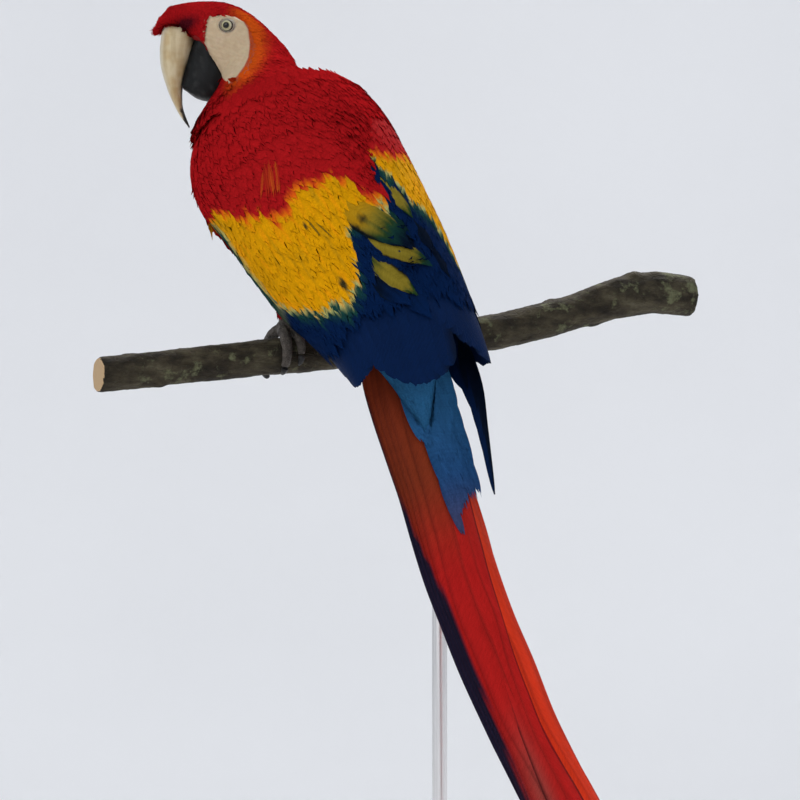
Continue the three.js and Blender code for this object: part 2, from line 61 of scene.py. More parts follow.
# ------------------------------------------------------------------ viewpoint
# A long lens behind the bird and to its left, a little below its middle.
# It looks slightly upwards, so the bird stands against the plain background.
camera_data = bpy.data.cameras.new("viewpoint")
camera_data.sensor_width = 36.0
camera_data.lens = 199.4
camera_data.clip_end = 40.0
camera = bpy.data.objects.new("viewpoint", camera_data)
bpy.context.collection.objects.link(camera)
camera.location = (1.9516, 2.8896, 0.2340)
aim = Vector((-0.0510, 0.0296, 0.4781)) - camera.location
camera.rotation_euler = aim.to_track_quat("-Z", "Y").to_euler()
bpy.context.scene.camera = camera
bpy.context.scene.view_settings.view_transform = "Standard"

# ------------------------------------------------------------------ room
# A wide matt floor whose rim sweeps up into a wall all the way round,
# lit by a large soft lamp high behind the bird's right side and a weaker one in front.
FLOOR_RADIUS = 8.0
SWEEP_RADIUS = 1.5
WALL_HEIGHT = 4.5


def start_shape():
    """Leaves edit mode and selects nothing, so that the next operator works on its own shape."""
    if bpy.context.object and bpy.context.object.mode == "EDIT":
        bpy.ops.object.mode_set(mode="OBJECT")
    bpy.ops.object.select_all(action="DESELECT")


def new_finish(name, settings):
    """A material with the values that are the same all over set on its shader's own sockets."""
    finish = bpy.data.materials.new(name)
    finish.use_nodes = True
    shader = finish.node_tree.nodes["Principled BSDF"]
    for socket, value in settings.items():
        shader.inputs[socket].default_value = value
    return finish, finish.node_tree, shader


def add_node(tree, kind, inputs=None, **settings):
    """A node with its settings made, and each named input given a value or joined to an output."""
    node = tree.nodes.new(kind)
    for name, value in settings.items():
        setattr(node, name, value)
    for socket, value in (inputs or {}).items():
        if isinstance(value, bpy.types.NodeSocket):
            tree.links.new(value, node.inputs[socket])
        else:
            node.inputs[socket].default_value = value
    return node


def noise(tree, place, scale, detail, roughness=0.5):
    """Cloudy pattern over a place, with its spots about one part in scale of a metre wide."""
    inputs = {"Vector": place, "Scale": scale, "Detail": detail, "Roughness": roughness}
    return add_node(tree, "ShaderNodeTexNoise", inputs)


def raised_by(tree, shader, height, strength, distance):
    """Fine relief that a shader's normal takes from a height."""
    rise = add_node(tree, "ShaderNodeBump", {"Height": height, "Strength": strength, "Distance": distance})
    tree.links.new(rise.outputs["Normal"], shader.inputs["Normal"])


def tinted(tree, shader, colour, shade, amount=1.0):
    """A shader's colour, darkened by a shade."""
    mix = add_node(tree, "ShaderNodeMix", data_type="RGBA", blend_type="MULTIPLY")
    mix.inputs[0].default_value = amount
    tree.links.new(colour, mix.inputs[6])
    tree.links.new(shade, mix.inputs[7])
    tree.links.new(mix.outputs[2], shader.inputs["Base Color"])


def maths(tree, operation, *values):
    """A sum worked out on the way from one node to the next."""
    return add_node(tree, "ShaderNodeMath", dict(enumerate(values)), operation=operation)


def ramp(tree, value, stops):
    """Colours from a value, by stops of place and colour."""
    node = add_node(tree, "ShaderNodeValToRGB", {"Fac": value})
    while len(node.color_ramp.elements) < len(stops):
        node.color_ramp.elements.new(0.5)
    for element, (place, colour) in zip(node.color_ramp.elements, stops):
        element.position = place
        element.color = (*colour, 1.0) if len(colour) == 3 else colour
    return node.outputs["Color"]


start_shape()
bpy.ops.mesh.primitive_circle_add(vertices=96, radius=FLOOR_RADIUS, fill_type="NGON", location=(0, 0, 0))
floor = bpy.context.object
floor.name = "room_floor"
bpy.ops.object.mode_set(mode="EDIT")
bpy.ops.mesh.select_mode(type="EDGE")
bpy.ops.mesh.select_all(action="SELECT")
for step in range(1, 9):
    turned = [math.radians(90 * (step - s) / 8) for s in (1, 0)]
    reach = [FLOOR_RADIUS + SWEEP_RADIUS * math.sin(a) for a in turned]
    rise = SWEEP_RADIUS * (math.cos(turned[0]) - math.cos(turned[1]))
    bpy.ops.mesh.region_to_loop()
    bpy.ops.mesh.extrude_edges_move(TRANSFORM_OT_translate={"value": (0, 0, rise)})
    grow = reach[1] / reach[0]
    bpy.ops.transform.resize(value=(grow, grow, 1), center_override=(0, 0, 0))
bpy.ops.mesh.extrude_edges_move(TRANSFORM_OT_translate={"value": (0, 0, WALL_HEIGHT)})
bpy.ops.mesh.select_all(action="SELECT")
bpy.ops.mesh.normals_make_consistent(inside=True)
bpy.ops.object.mode_set(mode="OBJECT")
bpy.ops.object.shade_smooth()
paper, paper_tree, paper_shader = new_finish("pale_floor", {"Roughness": 0.9, "Specular IOR Level": 0.2})
paper_place = add_node(paper_tree, "ShaderNodeTexCoord").outputs["Object"]
paper_mottle = noise(paper_tree, paper_place, 0.6, 3.0)
paper_colour = ramp(
    paper_tree, paper_mottle.outputs["Fac"], [(0.3, (0.84, 0.84, 0.85)), (0.7, (0.88, 0.88, 0.89))]
)
paper_tree.links.new(paper_colour, paper_shader.inputs["Base Color"])
floor.data.materials.clear()
floor.data.materials.append(paper)
floor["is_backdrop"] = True

for lamp_name, place, aim_at, size, power, colour in [
    ("lamp_high", (-1.5, -1.1, 2.3), (0, 0, 0.6), 0.7, 64.0, (1.0, 0.95, 0.90)),
    ("lamp_front", (2.6, 1.4, 1.9), (0, 0, 0.5), 2.2, 22.0, (1.0, 0.98, 0.95)),
    ("lamp_low", (0.6, 3.4, 0.9), (0, 0, 0.4), 2.4, 8.0, (0.94, 0.97, 1.0)),
]:
    lamp_data = bpy.data.lights.new(lamp_name, "AREA")
    lamp_data.shape = "DISK"
    lamp_data.size = size
    lamp_data.energy = power
    lamp_data.color = colour
    lamp = bpy.data.objects.new(lamp_name, lamp_data)
    bpy.context.collection.objects.link(lamp)
    lamp.location = place
    lamp.rotation_euler = (Vector(aim_at) - Vector(place)).to_track_quat("-Z", "Y").to_euler()
sky = bpy.data.worlds.new("room_air")
bpy.context.scene.world = sky
sky.use_nodes = True
sky.node_tree.nodes["Background"].inputs["Color"].default_value = (0.93, 0.96, 1.0, 1.0)
sky.node_tree.nodes["Background"].inputs["Strength"].default_value = 1.05

# ------------------------------------------------------------------ stand
# A flat steel plate with round corners, painted black, and a bright steel rod screwed into it
# through a turned collar. The rod goes up into the underside of the branch.
BRANCH_TURN = math.radians(-12)
BASE_LENGTH, BASE_WIDTH, BASE_THICK = 0.340, 0.230, 0.010
BASE_CORNER = 0.024
BASE_EDGE = 0.002
ROD_ALONG, ROD_RADIUS = 0.098, 0.006
COLLAR_RADIUS, COLLAR_HEIGHT = 0.014, 0.016
SEAT_GAP = 0.00035
rod_foot = Vector(
    (-ROD_ALONG * math.cos(BRANCH_TURN), -ROD_ALONG * math.sin(BRANCH_TURN), BASE_THICK + SEAT_GAP)
)
rod_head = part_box("stand_rod")[1].z


def settle(piece, name, look, slot_name, *nodes):
    """Names a finished shape, gives it its finish and puts it in the place of its solids."""
    start_shape()
    piece.select_set(True)
    bpy.context.view_layer.objects.active = piece
    bpy.ops.object.transform_apply(location=True, rotation=True, scale=True)
    piece.name = name
    piece.data.materials.clear()
    piece.data.materials.append(look)
    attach(piece, "root")
    if nodes:
        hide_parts(*nodes)


def apply_all(piece):
    """Applies a piece's modifiers from the first to the last."""
    start_shape()
    piece.select_set(True)
    bpy.context.view_layer.objects.active = piece
    for modifier in list(piece.modifiers):
        bpy.ops.object.modifier_apply(modifier=modifier.name)


black_paint, paint_tree, paint_shader = new_finish(
    "black_paint", {"Metallic": 0.0, "Coat Weight": 0.15, "Coat Roughness": 0.3}
)
paint_place = add_node(paint_tree, "ShaderNodeTexCoord").outputs["Object"]
paint_grain = noise(paint_tree, paint_place, 900.0, 3.0)
paint_cloud = noise(paint_tree, paint_place, 14.0, 4.0)
paint_tree.links.new(
    ramp(
        paint_tree, paint_cloud.outputs["Fac"], [(0.3, (0.018, 0.018, 0.019)), (0.75, (0.034, 0.034, 0.036))]
    ),
    paint_shader.inputs["Base Color"],
)
paint_tree.links.new(
    ramp(paint_tree, paint_cloud.outputs["Fac"], [(0.35, (0.42,) * 3), (0.7, (0.58,) * 3)]),
    paint_shader.inputs["Roughness"],
)
raised_by(paint_tree, paint_shader, paint_grain.outputs["Fac"], 0.25, 0.0004)

bright_steel, steel_tree, steel_shader = new_finish("bright_steel", {"Metallic": 1.0})
steel_place = add_node(steel_tree, "ShaderNodeTexCoord").outputs["Object"]
steel_line = add_node(steel_tree, "ShaderNodeMapping", {"Vector": steel_place, "Scale": (900.0, 900.0, 12.0)})
steel_grain = noise(steel_tree, steel_line.outputs["Vector"], 1.0, 3.0)
steel_tree.links.new(
    ramp(steel_tree, steel_grain.outputs["Fac"], [(0.3, (0.50, 0.50, 0.51)), (0.7, (0.64, 0.64, 0.65))]),
    steel_shader.inputs["Base Color"],
)
steel_tree.links.new(
    ramp(steel_tree, steel_grain.outputs["Fac"], [(0.3, (0.34,) * 3), (0.7, (0.46,) * 3)]),
    steel_shader.inputs["Roughness"],
)
raised_by(steel_tree, steel_shader, steel_grain.outputs["Fac"], 0.08, 0.0001)

start_shape()
bpy.ops.mesh.primitive_cube_add(size=1, location=(0, 0, BASE_THICK / 2), rotation=(0, 0, BRANCH_TURN))
base = bpy.context.object
base.scale = (BASE_LENGTH, BASE_WIDTH, BASE_THICK)
bpy.ops.object.transform_apply(location=False, rotation=False, scale=True)
bpy.ops.object.mode_set(mode="EDIT")
bpy.ops.mesh.select_all(action="DESELECT")
bpy.ops.object.mode_set(mode="OBJECT")
for edge in base.data.edges:
    ends = [base.data.vertices[i].co for i in edge.vertices]
    edge.select = abs(ends[0].z - ends[1].z) > BASE_THICK / 2
bpy.ops.object.mode_set(mode="EDIT")
bpy.ops.mesh.bevel(offset=BASE_CORNER, segments=12)
bpy.ops.object.mode_set(mode="OBJECT")
rim = base.modifiers.new("rim", "BEVEL")
rim.width = BASE_EDGE
rim.segments = 4
rim.limit_method = "ANGLE"
apply_all(base)
settle(base, "display_base", black_paint, "stand_paint", "stand_base")
bpy.ops.object.shade_smooth_by_angle(angle=math.radians(30))

start_shape()
rod_middle = rod_foot + Vector((0, 0, (rod_head - rod_foot.z) / 2))
bpy.ops.mesh.primitive_cylinder_add(
    vertices=48, radius=ROD_RADIUS, depth=rod_head - rod_foot.z, location=rod_middle
)
rod = bpy.context.object
rod_edge = rod.modifiers.new("rod_edge", "BEVEL")
rod_edge.width = 0.0006
rod_edge.segments = 3
rod_edge.limit_method = "ANGLE"
apply_all(rod)
settle(rod, "display_rod", bright_steel, "stand_steel", "stand_rod")
bpy.ops.object.shade_smooth_by_angle(angle=math.radians(30))

start_shape()
bpy.ops.mesh.primitive_cylinder_add(
    vertices=64, radius=COLLAR_RADIUS, depth=COLLAR_HEIGHT,
    location=rod_foot + Vector((0, 0, COLLAR_HEIGHT / 2))
)
collar = bpy.context.object
bpy.ops.object.mode_set(mode="EDIT")
bpy.ops.mesh.select_mode(type="FACE")
bpy.ops.mesh.select_all(action="DESELECT")
bpy.ops.object.mode_set(mode="OBJECT")
for face in collar.data.polygons:
    face.select = abs(face.normal.z) > 0.9
bpy.ops.object.mode_set(mode="EDIT")
bpy.ops.mesh.inset(thickness=COLLAR_RADIUS - ROD_RADIUS - SEAT_GAP)
bpy.ops.mesh.bridge_edge_loops()
bpy.ops.object.mode_set(mode="OBJECT")
collar_edge = collar.modifiers.new("collar_edge", "BEVEL")
collar_edge.width = 0.0016
collar_edge.segments = 4
collar_edge.limit_method = "ANGLE"
collar_edge.angle_limit = math.radians(50)
apply_all(collar)
settle(collar, "display_collar", black_paint, "stand_paint", "stand_collar")
bpy.ops.object.shade_smooth_by_angle(angle=math.radians(30))

# ------------------------------------------------------------------ branch
# A cut length of a dead tree's branch: thin grey-brown bark with lichen on it, a swollen bend
# with knots near its thin end, and a clean sawn face at each end.
BARK_VOXEL = 0.0017
# Distance along the branch towards the bird's right, degrees round it from the top, width and height of
# a knot.
KNOTS = [
    (0.268, -10, 0.010, 0.0034), (0.285, 120, 0.011, 0.0040), (0.303, 55, 0.009, 0.0028),
    (0.236, 170, 0.009, 0.0026),
    (-0.088, 60, 0.008, 0.0024), (-0.140, 200, 0.009, 0.0022), (0.150, 95, 0.007, 0.0020),
    (0.195, 20, 0.008, 0.0022),
    (-0.020, 150, 0.008, 0.0020), (0.100, 250, 0.010, 0.0025), (-0.165, 20, 0.007, 0.0018),
]


def copied(name, *nodes):
    """Copies of solids as one loose mesh, its doubled corners merged."""
    start_shape()
    for node in nodes:
        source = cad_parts[node]
        copy = bpy.data.objects.new(name, source.data.copy())
        bpy.context.collection.objects.link(copy)
        copy.matrix_world = source.matrix_world
        copy.select_set(True)
        bpy.context.view_layer.objects.active = copy
    if len(nodes) > 1:
        bpy.ops.object.join()
    piece = bpy.context.object
    bpy.ops.object.transform_apply(location=True, rotation=True, scale=True)
    bpy.ops.object.mode_set(mode="EDIT")
    bpy.ops.mesh.select_all(action="SELECT")
    bpy.ops.mesh.remove_doubles(threshold=1e-6)
    bpy.ops.object.mode_set(mode="OBJECT")
    piece.data.materials.clear()
    for layer in list(piece.data.uv_layers):
        piece.data.uv_layers.remove(layer)
    return piece


def refined(piece, voxel, passes, swell=0.0):
    """Evens a faceted form out into a fine smooth one."""
    if swell:
        fuller = piece.modifiers.new("fuller", "DISPLACE")
        fuller.strength = swell
        fuller.mid_level = 0.0
    fine = piece.modifiers.new("fine", "REMESH")
    fine.mode = "VOXEL"
    fine.voxel_size = voxel
    soft = piece.modifiers.new("soft", "SMOOTH")
    soft.iterations = passes
    soft.factor = 0.5
    apply_all(piece)
    bpy.ops.object.shade_smooth()
    return piece


def corners_of(mesh):
    """A mesh's corners and their outward directions, in millimetres."""
    points = np.empty(len(mesh.vertices) * 3)
    mesh.vertices.foreach_get("co", points)
    outwards = np.empty(len(mesh.vertices) * 3)
    mesh.vertex_normals.foreach_get("vector", outwards)
    return points.reshape(-1, 3) * 1000, outwards.reshape(-1, 3)


def move_corners(mesh, points):
    mesh.vertices.foreach_set("co", (points / 1000).astype(np.float32).ravel())
    mesh.update()


def cloudy(points, size, seed=0):
    """A smooth random height from -1 to 1 at each point, with lumps of about this size."""
    rng = np.random.default_rng(seed)
    total = np.zeros(len(points))
    for octave in range(3):
        for _ in range(7):
            way = rng.normal(size=3)
            way /= np.linalg.norm(way)
            wave = points @ way * (2 * math.pi * 2**octave / size) + rng.uniform(0, 2 * math.pi)
            bend = points @ rng.normal(size=3) * (1.3 * 2**octave / size)
            total += np.sin(wave + 1.7 * np.sin(bend)) / 2**octave
    return total / 6


branch = refined(copied("branch_bark", "perch_branch"), BARK_VOXEL, 10)
bark_points, bark_out = corners_of(branch.data)
branch_way = np.array([-math.cos(BRANCH_TURN), -math.sin(BRANCH_TURN), 0.0])
branch_side = np.array([math.sin(BRANCH_TURN), -math.cos(BRANCH_TURN), 0.0])
along_branch = bark_points @ branch_way
# The middle line's height is found again from the bark's own corners, station by station.
stations = np.linspace(along_branch.min(), along_branch.max(), 60)
rises = [bark_points[np.abs(along_branch - s) < 12, 2] for s in stations]
core_height = np.interp(along_branch, stations, [(r.min() + r.max()) / 2 for r in rises])
round_way = bark_points - branch_way * along_branch[:, None]
around = np.degrees(np.arctan2(round_way @ branch_side, bark_points[:, 2] - core_height))
at_end = np.clip(np.minimum(along_branch - along_branch.min(), along_branch.max() - along_branch) / 3, 0, 1)
stretch = bark_points.copy()
stretch -= branch_way * (along_branch * 0.6)[:, None]
relief = 0.75 * cloudy(stretch, 26, 3) + 0.35 * cloudy(stretch, 8, 4) + 0.22 * np.abs(cloudy(stretch, 4.5, 9))
for place, turn, width, height in KNOTS:
    away = (along_branch - place * 1000) ** 2 + ((around - turn + 180) % 360 - 180) ** 2 * 0.08
    swelling = np.exp(-away / (2 * (width * 420) ** 2))
    relief += height * 1000 * (swelling - 0.75 * np.exp(-away / (2 * (width * 150) ** 2)))
under_feet = np.exp(-((np.abs(along_branch + 2) - 34) ** 2) / (2 * 9**2))
relief = (relief - 0.35) * (1 - 0.85 * under_feet)
move_corners(branch.data, bark_points + bark_out * (relief * at_end)[:, None])

bark_finish, bark_tree, bark_shader = new_finish("branch_bark", {"Specular IOR Level": 0.15})
bark_place = add_node(bark_tree, "ShaderNodeTexCoord").outputs["Object"]
bark_line = add_node(
    bark_tree, "ShaderNodeMapping",
    {"Vector": bark_place, "Rotation": (0, 0, -BRANCH_TURN), "Scale": (0.45, 1.0, 1.0)}
).outputs["Vector"]
bark_blotch = noise(bark_tree, bark_line, 85.0, 6.0, 0.62)
bark_fine = noise(bark_tree, bark_line, 420.0, 6.0, 0.7)
bark_crack = add_node(
    bark_tree, "ShaderNodeTexVoronoi", {"Vector": bark_line, "Scale": 190.0}, feature="DISTANCE_TO_EDGE"
)
lichen = noise(bark_tree, bark_place, 60.0, 7.0, 0.7)
bark_base = ramp(
    bark_tree, bark_blotch.outputs["Fac"],
    [
        (0.28, (0.006, 0.005, 0.004)), (0.45, (0.021, 0.017, 0.011)), (0.60, (0.046, 0.039, 0.024)),
        (0.78, (0.095, 0.085, 0.058))
    ],
)
lichen_mask = ramp(bark_tree, lichen.outputs["Fac"], [(0.56, (0, 0, 0)), (0.66, (1, 1, 1))])
bark_mix = bark_tree.nodes.new("ShaderNodeMix")
bark_mix.data_type = "RGBA"
bark_tree.links.new(lichen_mask, bark_mix.inputs[0])
bark_tree.links.new(bark_base, bark_mix.inputs[6])
bark_mix.inputs[7].default_value = (0.095, 0.10, 0.055, 1)
bark_tree.links.new(bark_mix.outputs[2], bark_shader.inputs["Base Color"])
bark_tree.links.new(
    ramp(bark_tree, bark_fine.outputs["Fac"], [(0.3, (0.95,) * 3), (0.8, (0.72,) * 3)]),
    bark_shader.inputs["Roughness"]
)
crack_height = maths(bark_tree, "MINIMUM", bark_crack.outputs["Distance"], 0.08)
bark_sum = maths(bark_tree, "MULTIPLY_ADD", crack_height.outputs[0], 6.0, bark_fine.outputs["Fac"])
raised_by(bark_tree, bark_shader, bark_sum.outputs[0], 0.9, 0.0012)

sawn_wood, sawn_tree, sawn_shader = new_finish("sawn_wood", {"Roughness": 0.8, "Specular IOR Level": 0.25})
sawn_place = add_node(sawn_tree, "ShaderNodeTexCoord").outputs["Object"]
sawn_line = add_node(
    sawn_tree, "ShaderNodeMapping",
    {
        "Vector": sawn_place, "Rotation": (0, 0, -BRANCH_TURN), "Location": (0, 0, -0.531),
        "Scale": (0.05, 1.0, 1.0)
    },
).outputs["Vector"]
sawn_rings = add_node(
    sawn_tree, "ShaderNodeTexWave",
    {"Vector": sawn_line, "Scale": 170.0, "Distortion": 2.2, "Detail": 3.0, "Detail Scale": 1.5},
    wave_type="RINGS", rings_direction="X",
)
sawn_tree.links.new(
    ramp(sawn_tree, sawn_rings.outputs["Fac"], [(0.2, (0.30, 0.20, 0.11)), (0.8, (0.46, 0.33, 0.19))]),
    sawn_shader.inputs["Base Color"],
)
raised_by(sawn_tree, sawn_shader, sawn_rings.outputs["Fac"], 0.4, 0.0004)
settle(branch, "branch", bark_finish, "bark", "perch_branch")
branch.data.materials.append(sawn_wood)
for face in branch.data.polygons:
    if abs(face.normal.dot(Vector(branch_way))) > 0.8:
        middle = face.center.dot(Vector(branch_way)) * 1000
        if min(middle - along_branch.min(), along_branch.max() - middle) < 2.0:
            face.material_index = 1

# ------------------------------------------------------------------ skin
# One soft skin over head, neck, trunk, thighs and the arms of the wings. It is bare on the white
# face, where it forms lids round the eyes and fine folds, and the coat stands on all the rest.
BODY_CENTRE = np.array([0.0, 6.0, 620.0])
LEAN, ROLL, HEAD_TURN = math.radians(35), math.radians(10), math.radians(52)
EYE_MIDDLE = BODY_CENTRE + np.array([30.0, -100.0, 161.0])
EYE_OUT, EYE_RADIUS = 21.4, 6.2
ARM_END = -95.0
SKIN_VOXEL = 0.0019
# The bare patch of the face, as distance ahead of the eye and above it, in millimetres.
FACE_PATCH = np.array([
    (17.5, 7.2), (10, 8.9), (2, 9.2), (-6, 7.8), (-12.5, 4.2), (-16.5, -3), (-18.3, -14), (-18.0, -27),
    (-15.5, -36.5), (-11.0, -45.5), (-5.0, -52.0), (1, -46), (8, -34), (14.5, -23), (19.5, -12), (19.2, -2),
])


def turn_about(axis, angle):
    return np.array(Matrix.Rotation(angle, 3, axis))


BIRD_TURN = turn_about("Y", ROLL) @ turn_about("X", LEAN)
FACE_TURN = turn_about("Z", HEAD_TURN)


def to_bird(points):
    """Bird's own frame: left, back, and up the spine, from the trunk's centre."""
    return (points - BODY_CENTRE) @ BIRD_TURN


def from_bird(points):
    return points @ BIRD_TURN.T + BODY_CENTRE


def to_face(points):
    """Head's own frame: left, behind, and up, from the middle between the eyes."""
    return (points - EYE_MIDDLE) @ FACE_TURN


def from_face(points):
    return points @ FACE_TURN.T + EYE_MIDDLE


def smooth_step(value, low, high):
    t = np.clip((value - low) / (high - low), 0, 1)
    return t * t * (3 - 2 * t)


def inside_patch(ahead, up, outline):
    """Distance to a closed outline, positive inside it."""
    inside = np.zeros(ahead.shape, bool)
    near = np.full(ahead.shape, 1e9)
    for (x0, y0), (x1, y1) in zip(outline, np.roll(outline, -1, axis=0)):
        crosses = (y0 > up) != (y1 > up)
        step = (x1 - x0) * (up - y0) / np.where(y1 == y0, 1e-9, y1 - y0) + x0
        inside ^= crosses & (ahead < step)
        t = np.clip(
            ((ahead - x0) * (x1 - x0) + (up - y0) * (y1 - y0)) / ((x1 - x0) ** 2 + (y1 - y0) ** 2), 0, 1
        )
        near = np.minimum(near, np.hypot(ahead - x0 - t * (x1 - x0), up - y0 - t * (y1 - y0)))
    return np.where(inside, near, -near)


def bare_face(points):
    """How far inside the bare patch of the nearer cheek each point lies."""
    face = to_face(points)
    on_side = smooth_step(np.abs(face[:, 0]), 9, 13)
    return np.where(on_side > 0.5, inside_patch(-face[:, 1], face[:, 2], FACE_PATCH), -20.0)


def arc(values, table):
    """Values on straight lines through a table of pairs."""
    places, heights = zip(*table)
    return np.interp(values, places, heights)


# Lower edge of the red and of the yellow on each folded wing: degrees from the back, height.
RED_ENDS_LEFT = [
    (-40, -40), (8, -38), (13, -31), (19, -20), (23, -10), (27, -7), (35, -8), (47, -5), (54, -6), (57, -14),
    (62, -20), (66, -12),
    (72, -3), (80, 3), (89, 11), (94, 22), (105, 39), (130, 48),
]
YELLOW_ENDS_LEFT = [
    (-40, -44), (10, -44), (20, -46), (30, -52), (35, -64), (38, -83), (45, -95), (52, -102), (64, -101),
    (78, -95), (95, -80),
    (108, -63), (112, -45), (130, -30),
]
RED_ENDS_RIGHT = [
    (-5, 6), (4, 4), (6, 2), (15, -2), (22, 0), (29, 6), (37, 8), (50, 10), (70, 12), (90, 24), (130, 48)
]
YELLOW_ENDS_RIGHT = [
    (-5, 12), (4, 3), (5, -10), (13, -21), (16, -39), (28, -50), (41, -68), (53, -88), (76, -100), (91, -87),
    (110, -68), (130, -48),
]

SCARLET = np.array([0.33, 0.007, 0.009])
DEEP_RED = np.array([0.26, 0.005, 0.010])
ORANGE = np.array([0.62, 0.095, 0.006])
YELLOW = np.array([0.60, 0.275, 0.002])
PALE_GREEN = np.array([0.34, 0.36, 0.13])
GREEN = np.array([0.008, 0.040, 0.034])
BLUE = np.array([0.002, 0.011, 0.048])
BLUE_BLACK = np.array([0.002, 0.005, 0.014])
SKY_BLUE = np.array([0.020, 0.095, 0.210])
TAIL_RED = np.array([0.33, 0.009, 0.008])
BARE_WHITE = np.array([0.44, 0.345, 0.225])


def blend(under, over, share):
    share = np.asarray(share)[..., None]
    return under * (1 - share) + over * share


def wing_colour(height, degrees, side):
    """Red shoulder, yellow coverts with a pale green and a green fringe, then blue."""
    red_end = np.where(side > 0, arc(degrees, RED_ENDS_LEFT), arc(degrees, RED_ENDS_RIGHT))
    yellow_end = np.where(side > 0, arc(degrees, YELLOW_ENDS_LEFT), arc(degrees, YELLOW_ENDS_RIGHT))
    colour = blend(SCARLET, ORANGE, smooth_step(red_end - height, -5, 0.5))
    colour = blend(colour, YELLOW, smooth_step(red_end - height, -1, 5))
    colour = blend(colour, PALE_GREEN, smooth_step(yellow_end - height, -3.5, 0.5))
    colour = blend(colour, GREEN, smooth_step(yellow_end - height, 0.5, 4))
    colour = blend(colour, BLUE, smooth_step(yellow_end - height, 5, 16))
    # The wing's front rim is edged pale green and then dark.
    rim = smooth_step(-height, -42, -26) * smooth_step(height, -72, -52)
    colour = blend(colour, PALE_GREEN, 0.8 * rim * smooth_step(degrees, 109, 113))
    return blend(colour, GREEN, rim * smooth_step(degrees, 114, 117))


def markings(points):
    """The bird's colours at points in the room, the same for skin and coat, with painted shade over the lores.
    """
    bird = to_bird(points)
    face = to_face(points)
    left, back, height = bird.T
    round_body = np.degrees(np.arctan2(left, back))
    side = np.where(round_body > -6, 1, -1)
    colour = wing_colour(
        height, np.abs(np.where(round_body > -6, np.maximum(round_body, -40), -round_body)), side
    )
    colour = np.where(
        (np.abs(round_body) < 6)[:, None], wing_colour(height, round_body, np.ones_like(side)), colour
    )
    below_wing = (np.abs(round_body) > 124) | (height > 60)
    colour = np.where(below_wing[:, None], SCARLET, colour)
    belly = (np.abs(round_body) >= 124)
    colour = blend(colour, DEEP_RED, np.where(belly, smooth_step(-height, 30, 80), 0))
    by_tail_root = belly | (np.hypot(left, back) < 40)
    colour = blend(colour, SKY_BLUE, np.where(by_tail_root, smooth_step(-height, 105, 130), 0))
    ahead, up, out = -face[:, 1], face[:, 2], np.abs(face[:, 0])
    patch = inside_patch(ahead, up, FACE_PATCH)
    on_head = smooth_step(height, 105, 125)
    behind_patch = np.exp(-((patch + 5) ** 2) / 50) * smooth_step(-ahead, -4, 12) * smooth_step(out, 8, 14)
    colour = blend(colour, ORANGE, 0.75 * behind_patch * on_head)
    # Over the lores before the eye, a dark red-brown patch of painted shade.
    lore_shade = np.exp(
        -(((ahead - 35) / 10) ** 2) - (((up - 1.5 + 0.25 * (ahead - 35)) / 5.5) ** 2)
    ) * smooth_step(out, 7, 12)
    colour = blend(colour, np.array([0.035, 0.004, 0.008]), 0.92 * np.clip(lore_shade * 1.3, 0, 1))
    return np.clip(colour, 0, 1)


arms = copied("arms", "wing_left", "wing_right")
cut_place = from_bird(np.array([0.0, 0.0, ARM_END])) / 1000
bpy.ops.object.mode_set(mode="EDIT")
bpy.ops.mesh.select_all(action="SELECT")
bpy.ops.mesh.bisect(plane_co=cut_place, plane_no=BIRD_TURN[:, 2], use_fill=True, clear_inner=True)
bpy.ops.object.mode_set(mode="OBJECT")
skin = copied("skin", "head", "neck", "trunk", "thigh_left", "thigh_right", "eye_left", "eye_right")
arms.select_set(True)
bpy.ops.object.join()
refined(skin, SKIN_VOXEL, 12, swell=0.0005)
# The plumage flows from neck to shoulder, so the step between neck and wing is evened out.
shoulder_points, _ = corners_of(skin.data)
shoulder_height = to_bird(shoulder_points)[:, 2]
shoulder_share = smooth_step(shoulder_height, 44, 66) * smooth_step(-shoulder_height, -116, -100)
shoulder_group = skin.vertex_groups.new(name="shoulder")
for level in range(1, 5):
    ids = np.nonzero(np.round(shoulder_share * 4) == level)[0].tolist()
    shoulder_group.add(ids, level / 4, "REPLACE")
even = skin.modifiers.new("even", "SMOOTH")
even.iterations = 60
even.factor = 0.5
even.vertex_group = "shoulder"
apply_all(skin)

start_shape()
bpy.context.view_layer.objects.active = skin
skin.select_set(True)
for _ in range(2):
    bpy.ops.object.mode_set(mode="EDIT")
    bpy.ops.mesh.select_mode(type="VERT")
    bpy.ops.mesh.select_all(action="DESELECT")
    bpy.ops.object.mode_set(mode="OBJECT")
    face_points, _ = corners_of(skin.data)
    wanted = bare_face(face_points) > -2.5
    skin.data.vertices.foreach_set("select", wanted)
    bpy.ops.object.mode_set(mode="EDIT")
    bpy.ops.mesh.select_mode(type="FACE")
    bpy.ops.mesh.subdivide(number_cuts=1, smoothness=0.8)
    bpy.ops.object.mode_set(mode="OBJECT")

skin_points, skin_out = corners_of(skin.data)
bird_points, head_points = to_bird(skin_points), to_face(skin_points)
bare = smooth_step(bare_face(skin_points), -2.0, 1.0)
neck_share = smooth_step(bird_points[:, 2], 60, 128)
head_share = smooth_step(bird_points[:, 2], 118, 140)
thigh_foot = smooth_step(-skin_points[:, 2], -565, -545)
depth = np.interp(bird_points[:, 2], [10, 30], [4.6, 2.3]) * (1 - neck_share) + 2.0 * neck_share
depth = depth * (1 - head_share) + 1.1 * head_share
depth = depth * (1 - 0.6 * thigh_foot)
bill_near = smooth_step(-head_points[:, 1], 22, 34) * smooth_step(-head_points[:, 2], -12, 0)
depth = depth * (1 - bare) * (1 - 0.8 * bill_near) + 0.5
brow_front = smooth_step(-head_points[:, 1], 46, 56) * smooth_step(-head_points[:, 2], -26, -10)
depth = depth + 1.8 * brow_front * smooth_step(head_points[:, 2], -2, 4)
skin_points = skin_points - skin_out * depth[:, None]
